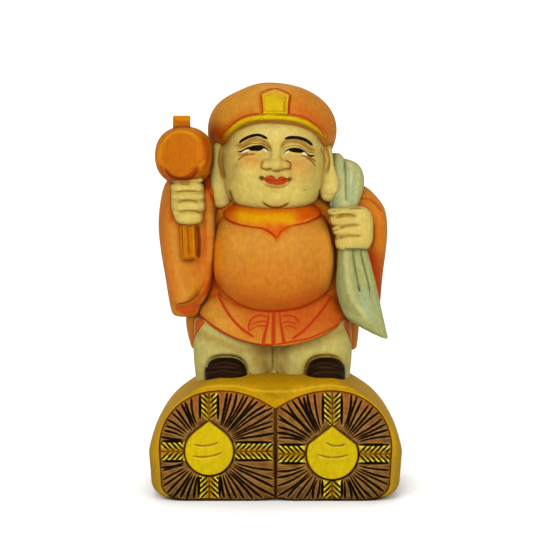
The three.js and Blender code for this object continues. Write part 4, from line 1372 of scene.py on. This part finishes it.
def half_outline(fullness, count=110):
    """Right half of the outline of both bales, from the valley round to the notch under the seam."""
    def between(at_end, at_waist):
        return at_end + (at_waist - at_end) * fullness

    half_width = bale_width + bale_bulge * fullness
    crest = bale_height + bale_rise * fullness
    crest_x = bale_width * crest_share
    spring = between(bale_spring, waist_spring)
    power = between(end_power, waist_power)
    share = np.linspace(0, 1, 20)[:-1]
    valley = np.stack([crest_x * share, crest - between(valley_depth, saddle_depth) * (1 - share) ** 2], 1)
    turn = np.linspace(0, pi / 2, 60)
    side = np.stack([crest_x + (half_width - crest_x) * np.sin(turn) ** (2 / power),
                     spring + (crest - spring) * np.maximum(np.cos(turn), 0) ** (2 / power)], 1)
    turn = np.linspace(0, pi / 2, 14)
    inward = 1 - np.maximum(np.cos(turn), 0) ** (2 / corner_power)
    corner = np.stack([half_width - side_taper - corner_width * inward,
                       corner_height * (1 - np.sin(turn) ** (2 / corner_power))], 1)
    under = rows([crest_x / 3, 0], [0, seam_notch])
    return even_points(np.concatenate([valley, side, corner, under]), count)


def whole_outline(fullness):
    half = half_outline(fullness)
    return np.concatenate([half, half[-2:0:-1] * [-1, 1]])


def inset_bales(outline, inset):
    """The outline of the end faces drawn in towards the middle of each bale."""
    middle = np.stack([np.sign(outline[:, 0]) * bale_width / 2, np.full(len(outline), bale_spring)], 1)
    away = outline - middle
    away[outline[:, 0] == 0, 0] = 0
    return outline - inset * away / np.linalg.norm(away, axis=1)[:, None]


def loft_faces(sides, rings):
    """Faces between rings of equal count, and fans to the two points after them, which close the ends."""
    here = np.arange(sides)
    there = (here + 1) % sides
    first = rings * sides
    end = first - sides
    faces = [np.stack([here, there, there + sides, here + sides], 1) + n * sides for n in range(rings - 1)]
    faces.append(np.stack([np.full(sides, first), there, here], 1))
    faces.append(np.stack([np.full(sides, first + 1), here + end, there + end], 1))
    return [face.tolist() for group in faces for face in group]


def bale_block():
    rings = []
    for place in np.sin(np.linspace(-pi / 2, pi / 2, bale_rings)):
        outline = whole_outline((1 - place ** 6) ** 0.5)
        rings.append(np.insert(outline, 1, place * bale_length / 2, axis=1))
    for side in (-1, 1):
        pocket = []
        for inset, depth in pocket_steps:
            ring = inset_bales(whole_outline(0), inset)
            pocket.append(np.insert(ring, 1, side * (bale_length / 2 - depth), axis=1))
        rings = pocket[::-1] + rings if side < 0 else rings + pocket
    points = np.concatenate([*rings, [rings[0].mean(0)], [rings[-1].mean(0)]])
    return lowered_back(points), loft_faces(len(rings[0]), len(rings))


def jewel_reach(jewel, turn):
    """Distance from the middle of a jewel to its edge, in a direction measured from straight up."""
    turn = np.abs((turn + pi) % (2 * pi) - pi)
    sloping = jewel.point * cos(jewel_slope) / np.maximum(np.cos(jewel_slope - turn), 0.2)
    return np.where(turn < jewel_slope, sloping, np.minimum(sloping, jewel.radius))


def lowered_back(points):
    """The bales sink a little towards their back ends."""
    share = np.maximum(points[:, 1] / (bale_length / 2), 0) * points[:, 2] / bale_height
    points = points.copy()
    points[:, 2] -= back_drop * share ** 2
    return points


def border_reach(centre, hand, turns):
    """Distance from a point of one bale's end face to its border in each direction."""
    half = half_outline(0, count=400) * [hand, 1]
    a, b = half, np.roll(half, -1, axis=0)
    edge = b - a
    ux, uz = np.sin(turns)[:, None], np.cos(turns)[:, None]
    cross = ux * edge[:, 1] - uz * edge[:, 0]
    cross = np.where(np.abs(cross) < tiny, tiny, cross)
    dx, dz = a[:, 0] - centre[0], a[:, 1] - centre[1]
    along = (dx * edge[:, 1] - dz * edge[:, 0]) / cross
    share = (dx * uz - dz * ux) / cross
    hit = (along > 0) & (share >= -1e-6) & (share <= 1 + 1e-6)
    return np.where(hit, along, np.inf).min(1)


# Two curved lines on each jewel, as routes in millimetres from its middle
jewel_lines = (
    ("-4.4,2.1 -1.8,1.7 1,2.1 2.7,2.8", "-4.8,-1.2 -2.3,-1.55 1.1,-1.2 3.8,-0.2"),
    ("-2,3.5 0.1,2.6 2.5,2.6 3.7,3", "-4.2,0 -1.3,-0.8 2,-0.75 4.7,-0.1"),
)
line_width = 0.34
# How far below the jewel's lines their painted highlight lies
line_highlight_drop = 0.42


def about(jewel, turn, radius):
    """The x and z of places, from their directions from straight up and distances from a jewel's middle."""
    return np.stack([jewel.x + np.sin(turn) * radius, jewel.z + np.cos(turn) * radius], -1)


def reaches(jewel, hand, turn):
    """Distances from a jewel's middle to its edge and to the border of the end face, in one direction."""
    turns = np.array([turn])
    return jewel_reach(jewel, turns)[0], border_reach((jewel.x, jewel.z), hand, turns)[0]


def gouge_cuts(jewel, hand, random, fine):
    """The cuts that fan out from the jewel in each quarter of an end face, as [path, half widths]."""
    cuts = []
    inner_spare, outer_spare = cut_spares[fine]
    along = np.linspace(0, 1, 7)
    for quarter in range(4):
        count = straw_counts[hand][quarter] if fine else back_count
        for n in range(count):
            share = (n + 0.5) / count + random.uniform(-place_chance, place_chance) / count
            start = quarter * pi / 2 + inner_spare + (pi / 2 - 2 * inner_spare) * share
            end = quarter * pi / 2 + outer_spare + (pi / 2 - 2 * outer_spare) * share
            end += random.uniform(-turn_chance, turn_chance)
            outer = reaches(jewel, hand, end)[1] - random.uniform(*border_gaps)
            inner = reaches(jewel, hand, start)[0] + random.uniform(*jewel_gaps)
            if outer - inner < shortest_cut:
                continue
            bow = random.uniform(-bow_chance, bow_chance) * np.sin(pi * along)
            path = about(jewel, start + (end - start) * along + bow, inner + (outer - inner) * along)
            widest = straw_cut * random.uniform(*width_chance)
            cuts.append((path, taper(7, widest, 0.4, 0.6) * (0.55 + 0.45 * along)))
    return cuts


def ear_cuts(jewel, hand):
    """The cuts beside the four ears of rice, and the slanted cuts and the middle lines of their grains."""
    cuts, grains = [], []
    centre = rows(jewel.x, jewel.z)
    for quarter, ear_width in enumerate(ear_widths[hand]):
        turn = quarter * pi / 2
        along, across = rows(sin(turn), cos(turn)), rows(cos(turn), -sin(turn))
        to_jewel, to_border = reaches(jewel, hand, turn)
        start = to_jewel + ear_gap
        end = to_border - ear_end
        reach = ear_width / 2 - grain_spare
        for side in (-1, 1):
            edge = side * (ear_width / 2 + beside_ear)
            path = centre + np.linspace(start, end - 0.3, 5)[:, None] * along + edge * across
            cuts.append((path, taper(5, straw_cut, 0.5, 0.5)))
            for place in np.arange(start + 0.5 - reach, end - 0.6, ear_pitch):
                ends = [max(place, start), min(place + reach, end)]
                if ends[1] - ends[0] > shortest_grain:
                    inside, outside = (
                        centre + far * along + side * (grain_start + far - place) * across for far in ends
                    )
                    grains.append((np.array([inside, (inside + outside) / 2, outside]), grain_widths))
        middle = centre + np.linspace(start, end, 4)[:, None] * along
        grains.append((middle, middle_widths))
    return cuts, grains


# The paler straw and jewel colours are painted highlights, and the foot colour is painted shade
bale_paints = {name: linear(colour) for name, colour in {
    "straw": (146, 99, 44), "dark straw": (116, 74, 30), "straw highlight": (196, 150, 84),
    "red straw": (176, 98, 32), "cut": (26, 13, 6), "ear": (172, 124, 24), "bright ear": (246, 224, 70),
    "jewel": (214, 184, 14), "jewel highlight": (234, 214, 70), "jewel line": (158, 104, 12),
    "rim": (206, 156, 24), "lower rim": (184, 142, 36), "border": (74, 34, 12), "foot": (66, 42, 20),
}.items()}


def layered(paint, *layers):
    """A paint with others laid over it in turn, each as [name or colours, share]."""
    for colour, share in layers:
        paint = mix(paint, bale_paints[colour] if isinstance(colour, str) else colour, share)
    return paint


def wander(points, size, seed):
    """A smooth irregular value from about -1 to 1 at each point, with swells of about that size."""
    random = np.random.default_rng(seed)
    total = np.zeros(len(points))
    for _ in range(7):
        direction = random.normal(size=points.shape[1])
        direction *= 2 * pi / (size * random.uniform(0.6, 1.8)) / np.linalg.norm(direction)
        total += np.sin(points @ direction + random.uniform(0, 2 * pi))
    return total / 3.5


def scratched(flat, strokes):
    """Largest margin inside any of the strokes at each point of a plane, in millimetres and as a share."""
    margin = np.full(len(flat), -0.6)
    share = np.zeros(len(flat))
    for path, half_widths in strokes:
        near = ((flat > path.min(0) - 0.9) & (flat < path.max(0) + 0.9)).all(1)
        inside, half = stroke_margin(flat[near], path, half_widths)
        margin[near] = np.maximum(margin[near], inside)
        share[near] = np.maximum(share[near], np.clip(inside / half, 0, 1))
    return margin, share


# A plate is one bale's end face, on rings about its jewel. The first third of them lies on the jewel.
# Spokes and rings, for the finely carved front and the plainer back
plate_grids = {True: (440, 74), False: (200, 36)}
Plate = namedtuple("Plate", "spokes rings turn radius flat to_jewel to_border")


def plate_grid(jewel, hand, fine):
    spokes, rings = plate_grids[fine]
    turns = np.arange(spokes) * 2 * pi / spokes
    reach = border_reach((jewel.x, jewel.z), hand, turns) - plate_gap - 0.1
    edge = jewel_reach(jewel, turns)
    inner = rings // 3
    shares = np.append(np.linspace(0, 1, inner + 1)[1:], np.linspace(1, 2, rings - inner + 1)[1:])[:, None]
    radius = (edge * np.minimum(shares, 1) + (reach - edge) * np.maximum(shares - 1, 0)).ravel()
    turn = np.tile(turns, rings)
    return Plate(spokes, rings, turn, radius, about(jewel, turn, radius),
                 radius - jewel_reach(jewel, turn), np.tile(reach, rings) - radius)


def ears_on(plate, jewel, hand, fine):
    """How far each point of a plate is on an ear of rice, from 0 to 1, and how bright the ear is there."""
    quarter = np.round(plate.turn / (pi / 2))
    aside = np.abs(plate.radius * np.sin(plate.turn - quarter * pi / 2))
    half = rows(*ear_widths[hand])[quarter.astype(int) % 4] / 2
    above_tip = plate.radius * np.cos(plate.turn) - jewel_reach(jewel, np.zeros(1))
    half = np.where(quarter % 4 == 0, np.minimum(half, 0.4 + np.maximum(above_tip, 0)), half)
    cover = blend_step(half - aside, -0.1, 0.1) * blend_step(plate.to_jewel, ear_gap - 0.2, ear_gap)
    cover *= float(fine) * blend_step(plate.to_border, ear_end - 0.4, ear_end - 0.1)
    bright = np.clip(aside / half * 1.3 - 0.3 + 0.3 * wander(plate.flat, 1, 4), 0, 1)
    return cover, bright


def straw_face(index, side, fine):
    """The carved face of one bale's end: a plate whose front follows the straw, ears and jewel."""
    hand = (-1, 1)[index]
    jewel = jewels[index]
    random = np.random.default_rng(7 + index + 2 * (side > 0))
    plate = plate_grid(jewel, hand, fine)
    flat, to_jewel, to_border = plate.flat, plate.to_jewel, plate.to_border
    cuts = gouge_cuts(jewel, hand, random, fine)
    grains, lines = [], []
    if fine:
        beside_ears, grains = ear_cuts(jewel, hand)
        cuts += beside_ears
        centre = [jewel.x, jewel.z]
        lines = [(spline(route_of(line), 14) + centre, taper(14, line_width)) for line in jewel_lines[index]]
    cut_margin, cut_share = scratched(flat, cuts)
    grain_margin, grain_share = scratched(flat, grains)
    line_share = scratched(flat, lines)[1]
    line_highlight = scratched(flat + [0, line_highlight_drop], lines)[1]
    on_jewel = blend_step(-to_jewel, 0.0, 0.22)
    in_ear, bright = ears_on(plate, jewel, hand, fine)

    height = straw_swell * wander(flat, 2.2, 3) - cut_depth * cut_share ** cut_power
    height = height - grain_depth * grain_share ** cut_power + ear_rise * in_ear
    height -= moat_depth * np.exp(-((to_jewel - moat_place) / moat_width) ** 2)
    crowned = jewel_relief + jewel_crown * (1 - (plate.radius / jewel.radius) ** 2)
    height = height * (1 - on_jewel) + on_jewel * crowned
    height -= line_depth * line_share ** cut_power + border_drop * (1 - blend_step(to_border, 0, 0.45))

    # Painted highlights along the edges of the cuts
    edge_highlight = np.exp(-((cut_margin + 0.2) / 0.16) ** 2)
    paint = layered(
        bale_paints["straw"],
        ("dark straw", np.clip(0.5 + 0.6 * wander(flat, 3, 5), 0, 1)),
        ("red straw", 0.6 * blend_step(flat[:, 1], 22, 31)),
        # Painted shade towards the foot of the face
        ("foot", 0.6 * blend_step(-flat[:, 1], -6, -1)),
        ("straw highlight", 0.55 * edge_highlight * (0.6 + 0.4 * wander(flat, 2, 6)).clip(0, 1)),
        (mix(bale_paints["ear"], bale_paints["bright ear"], bright), in_ear),
        ("cut", 0.7 * np.exp(-np.maximum(to_jewel, 0) / 0.5) * (1 - on_jewel)),
        ("jewel", on_jewel),
        # A painted highlight below each line on the jewel
        ("jewel highlight", 0.7 * line_highlight),
        ("jewel line", np.clip(line_share * 1.6, 0, 1)),
        ("border", 0.95 * (1 - blend_step(to_border, 0.1, 0.4))),
    )
    ring = ring_width + 0.1 * np.sin(plate.turn) - 0.12 * np.cos(plate.turn)
    ring_margin = ring / 2 - np.abs(to_jewel - ring_place - ring / 2)
    ink = np.maximum(np.maximum(cut_margin, grain_margin), ring_margin)
    rough = np.where(on_jewel > 0.5, jewel_roughness, straw_roughness + 0.08 * wander(flat, 1, 2))

    front = np.insert(flat, 1, side * (bale_length / 2 + height), axis=1)
    foot = front[-plate.spokes:].copy()
    foot[:, 1] = side * (pocket_floor + 0.1)
    ends = [[jewel.x, side * (bale_length / 2 + jewel_relief + jewel_crown), jewel.z],
            [jewel.x, side * (pocket_floor + 0.1), jewel.z]]
    points = np.concatenate([front, foot, ends])
    hidden = np.insert(bale_paints["cut"], 3, 0.6)
    coated = np.concatenate([np.column_stack([paint, rough]), np.tile(hidden, (plate.spokes, 1)),
                             [np.insert(bale_paints["jewel"], 3, 0.34), hidden]])
    margins = np.full((len(points), len(kinds)), no_mark)
    margins[:len(flat), 0] = np.maximum(ink / pixel_size, no_mark)
    faces = loft_faces(plate.spokes, plate.rings + 1)
    if side > 0:
        faces = [face[::-1] for face in faces]
    return lowered_back(points), faces, coated, margins


def bale_faces(side, fine):
    """Both end faces of one end, as one mesh of two plates."""
    left, right = (straw_face(index, side, fine) for index in (0, 1))
    count = len(left[0])
    faces = left[1] + [[corner + count for corner in face] for face in right[1]]
    points, coated, margins = (np.concatenate([left[n], right[n]]) for n in (0, 2, 3))
    return points, faces, coated, margins


def bale_coat(points):
    """Ochre on top, duller lower down, and dark round the ends' pockets, at the seam and at the foot."""
    across, along, height = points.T
    near_end = blend_step(np.abs(along), bale_length / 2 - 1.8, bale_length / 2 - 1.35)
    seam = blend_step(-np.abs(across), -1.8, -1.2) * blend_step(-height, -28, -26)
    foot = blend_step(-height, -1.9, -1.1) * blend_step(-np.abs(across), -33, -30)
    paint = layered(
        bale_paints["rim"],
        ("lower rim", blend_step(22 - height, 0, 14)),
        ("cut", 0.9 * near_end * seam),
        # Painted shade along the foot of the ends
        ("foot", near_end * foot * (1 - seam)),
    )
    return np.column_stack([paint, np.full(len(points), 0.75)])


def add_object(name, data):
    made = bpy.data.objects.new(name, data)
    bpy.context.scene.collection.objects.link(made)
    return made


def new_material(name):
    """A material, its node tree and its shader."""
    made = bpy.data.materials.new(name)
    made.use_nodes = True
    return made, made.node_tree, made.node_tree.nodes["Principled BSDF"]


def add_node(tree, kind, inputs, **settings):
    """A shader node with its settings, and its inputs as values or as sockets to link."""
    made = tree.nodes.new("ShaderNode" + kind)
    for name, value in settings.items():
        setattr(made, name, value)
    for name, value in inputs.items():
        if isinstance(value, bpy.types.NodeSocket):
            tree.links.new(value, made.inputs[name])
        else:
            made.inputs[name].default_value = value
    return made


def noise(tree, place, stretch, detail=3):
    """Noise from 0 to 1 with grains of about the stretch in millimetres along x, y and z."""
    scale = [1000 / size for size in stretch]
    moved = add_node(tree, "Mapping", {"Vector": place, "Scale": scale})
    return add_node(tree, "TexNoise", {"Vector": moved.outputs[0], "Scale": 1, "Detail": detail}).outputs[0]


def ranged(tree, value, start, end, low, high, shape="LINEAR"):
    sizes = {"Value": value, "From Min": start, "From Max": end, "To Min": low, "To Max": high}
    return add_node(tree, "MapRange", sizes, interpolation_type=shape).outputs[0]


def mixed(tree, share, first, second, way="MIX"):
    made = add_node(tree, "Mix", {0: share, 6: first, 7: second}, data_type="RGBA", blend_type=way)
    return made.outputs[2]


def paint_material(name):
    """Brushed paint: mottled, streaked along the carving, with the crisp marks laid over it."""
    material, tree, shader = new_material(name)
    shader.inputs["Specular IOR Level"].default_value = 0.03
    place = add_node(tree, "TexCoord", {}).outputs["Object"]
    paint = add_node(tree, "Attribute", {}, attribute_name="paint")
    drawn = add_node(tree, "Attribute", {}, attribute_name="marks")
    streaks = noise(tree, place, (0.5, 0.5, 2.4))
    mottle = noise(tree, place, (1.6, 1.6, 1.6), 4)
    broad = noise(tree, place, (7, 7, 9))
    grain = noise(tree, place, (0.22, 0.22, 0.3), 2)
    colour = paint.outputs["Color"]
    for value, low, high in ((streaks, 0.9, 1.07), (mottle, 0.89, 1.09), (broad, 0.95, 1.05)):
        colour = mixed(tree, 1.0, colour, ranged(tree, value, 0.3, 0.7, low, high), "MULTIPLY")
    split = add_node(tree, "SeparateColor", {"Color": drawn.outputs["Color"]})
    ragged = ranged(tree, mottle, 0.2, 0.8, -0.3, 0.3)
    channels = list(split.outputs[:3]) + [drawn.outputs["Alpha"]]
    for (kind, strength), channel in zip(crisp.items(), channels):
        margin = add_node(tree, "Math", {0: channel, 1: ragged}, operation="ADD").outputs[0]
        share = ranged(tree, margin, -0.35, 0.35, 0, strength, "SMOOTHSTEP")
        colour = mixed(tree, share, colour, (*(linear(colours[kind]) * exposure), 1))
    tree.links.new(colour, shader.inputs["Base Color"])
    uneven = ranged(tree, mottle, 0.3, 0.7, -0.07, 0.07)
    rough = add_node(tree, "Math", {0: paint.outputs["Alpha"], 1: uneven}, operation="ADD").outputs[0]
    tree.links.new(rough, shader.inputs["Roughness"])
    relief = add_node(tree, "Math", {0: streaks, 1: grain}, operation="ADD").outputs[0]
    bump = add_node(tree, "Bump", {"Strength": 0.35, "Distance": 0.00012, "Height": relief})
    tree.links.new(bump.outputs[0], shader.inputs["Normal"])
    return material


def piece(name, points, faces, coated, margins, lift=stand_height):
    """A mesh object in metres that stands for the carved block."""
    mesh = bpy.data.meshes.new(name)
    placed = points + [0, 0, lift]
    mesh.from_pydata((placed / 1000).tolist(), [], faces if isinstance(faces, list) else faces.tolist())
    mesh.shade_smooth()
    toned = coated.copy()
    toned[:, :3] = np.maximum(coated[:, :3] * exposure - gloss_light, darkest)
    for layer_name, values in (("paint", toned), ("marks", margins)):
        layer = mesh.attributes.new(layer_name, "FLOAT_COLOR", "POINT")
        layer.data.foreach_set("color", values.astype(np.float32).ravel())
    mesh.materials.append(material)
    thing = add_object(name, mesh)
    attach(thing, BODY)
    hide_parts(NODE)


# Pieces, each with the pitch of its mesh along x, y and z
groups = {
    "head": (head(), (0.24, 0.42, 0.24)),
    "hat": (hat(), (0.36, 0.42, 0.34)),
    "legs": (legs(), (0.34, 0.4, 0.34)),
    "robe": ([robe_tail(), robe_front(), robe_core(), belly(), collar()], (0.36, 0.46, 0.36)),
    "left_sleeve": (raised_sleeve(), (0.38, 0.46, 0.38)),
    "right_sleeve": (lowered_sleeve(), (0.38, 0.46, 0.38)),
    "hand_and_mallet": (raised_fist() + mallet(), (0.3, 0.4, 0.3)),
    "hand_and_sack": (lowered_fist() + sack(), (0.34, 0.46, 0.36)),
}
material = paint_material("painted_wood")
for name, (forms, pitch) in groups.items():
    points, faces = skin(forms, pitch)
    others = [shape for other, (shapes, _) in groups.items() if other != name for shape in shapes]
    coated = coat(points, forms, others)
    points, coated, margins = decorate(name, points, faces, coated)
    piece(name, points, faces, coated, margins)

points, faces = bale_block()
quads = np.array([face for face in faces if len(face) == 4])
moved, coated, margins = decorate("rice_bales", points - [0, 0, stand_height], quads, bale_coat(points))
piece("rice_bales", moved, faces, coated, margins)
for name, side, fine in (("front_straw", -1, True), ("back_straw", 1, False)):
    piece(name, *bale_faces(side, fine), lift=0)

scene = bpy.context.scene
scene.view_settings.view_transform = "Standard"

# The floor runs back and curves up into a wall. Metres from here on
floor_start = -2.0
floor_bend = 0.8
bend_radius = 0.6
wall_top = 3.0
half_floor = 4
sweep = [(floor_start, 0.0), (floor_bend, 0.0)]
for turn in np.linspace(0.1, pi / 2, 16):
    sweep.append((floor_bend + bend_radius * sin(turn), bend_radius * (1 - cos(turn))))
sweep.append((floor_bend + bend_radius, wall_top))
strips = [(2 * n, 2 * n + 1, 2 * n + 3, 2 * n + 2) for n in range(len(sweep) - 1)]
floor_mesh = bpy.data.meshes.new("floor")
floor_mesh.from_pydata([(x, y, z) for y, z in sweep for x in (-half_floor, half_floor)], [], strips)
floor_mesh.shade_smooth()
floor = add_object("floor", floor_mesh)
floor_material, _, floor_shader = new_material("pale_floor")
floor_shader.inputs["Base Color"].default_value = (0.9, 0.9, 0.9, 1)
floor_shader.inputs["Roughness"].default_value = 0.9
floor_mesh.materials.append(floor_material)

world = bpy.data.worlds.new("studio")
world.use_nodes = True
sky = world.node_tree.nodes["Background"]
sky.inputs["Color"].default_value = (1, 1, 1, 1)
sky.inputs["Strength"].default_value = 0.6
scene.world = world

# Soft lights: [place, size, power, what it is aimed at]
figure_middle = (0, 0, 0.06)
softboxes = (
    ((-0.35, -1.2, 0.7), 0.8, 16, figure_middle),
    ((0.6, -1.15, 0.35), 0.8, 8, figure_middle),
    ((0, 0.4, 1.5), 0.8, 12, (0, 1.4, 0.45)),
)
for place, size, power, aim in softboxes:
    light = bpy.data.lights.new("softbox", "AREA")
    light.size = size
    light.energy = power
    lamp = add_object("softbox", light)
    lamp.location = place
    lamp.rotation_euler = (Vector(aim) - lamp.location).to_track_quat("-Z", "Y").to_euler()

# The camera stands on the line through the aim point, tipped down by its pitch
view = bpy.data.cameras.new("camera")
view.sensor_width = 36
view.lens = lens_pixels / frame_pixels * view.sensor_width
view.shift_x = -(aim_pixel[0] - frame_pixels / 2) / frame_pixels
view.shift_y = (aim_pixel[1] - frame_pixels / 2) / frame_pixels
eye = add_object("camera", view)
back = Vector((0, -cos(camera_pitch), sin(camera_pitch)))
eye.location = Vector((0, 0, aim_height / 1000)) + back * camera_distance / 1000
eye.rotation_euler = (-back).to_track_quat("-Z", "Y").to_euler()
scene.camera = eye
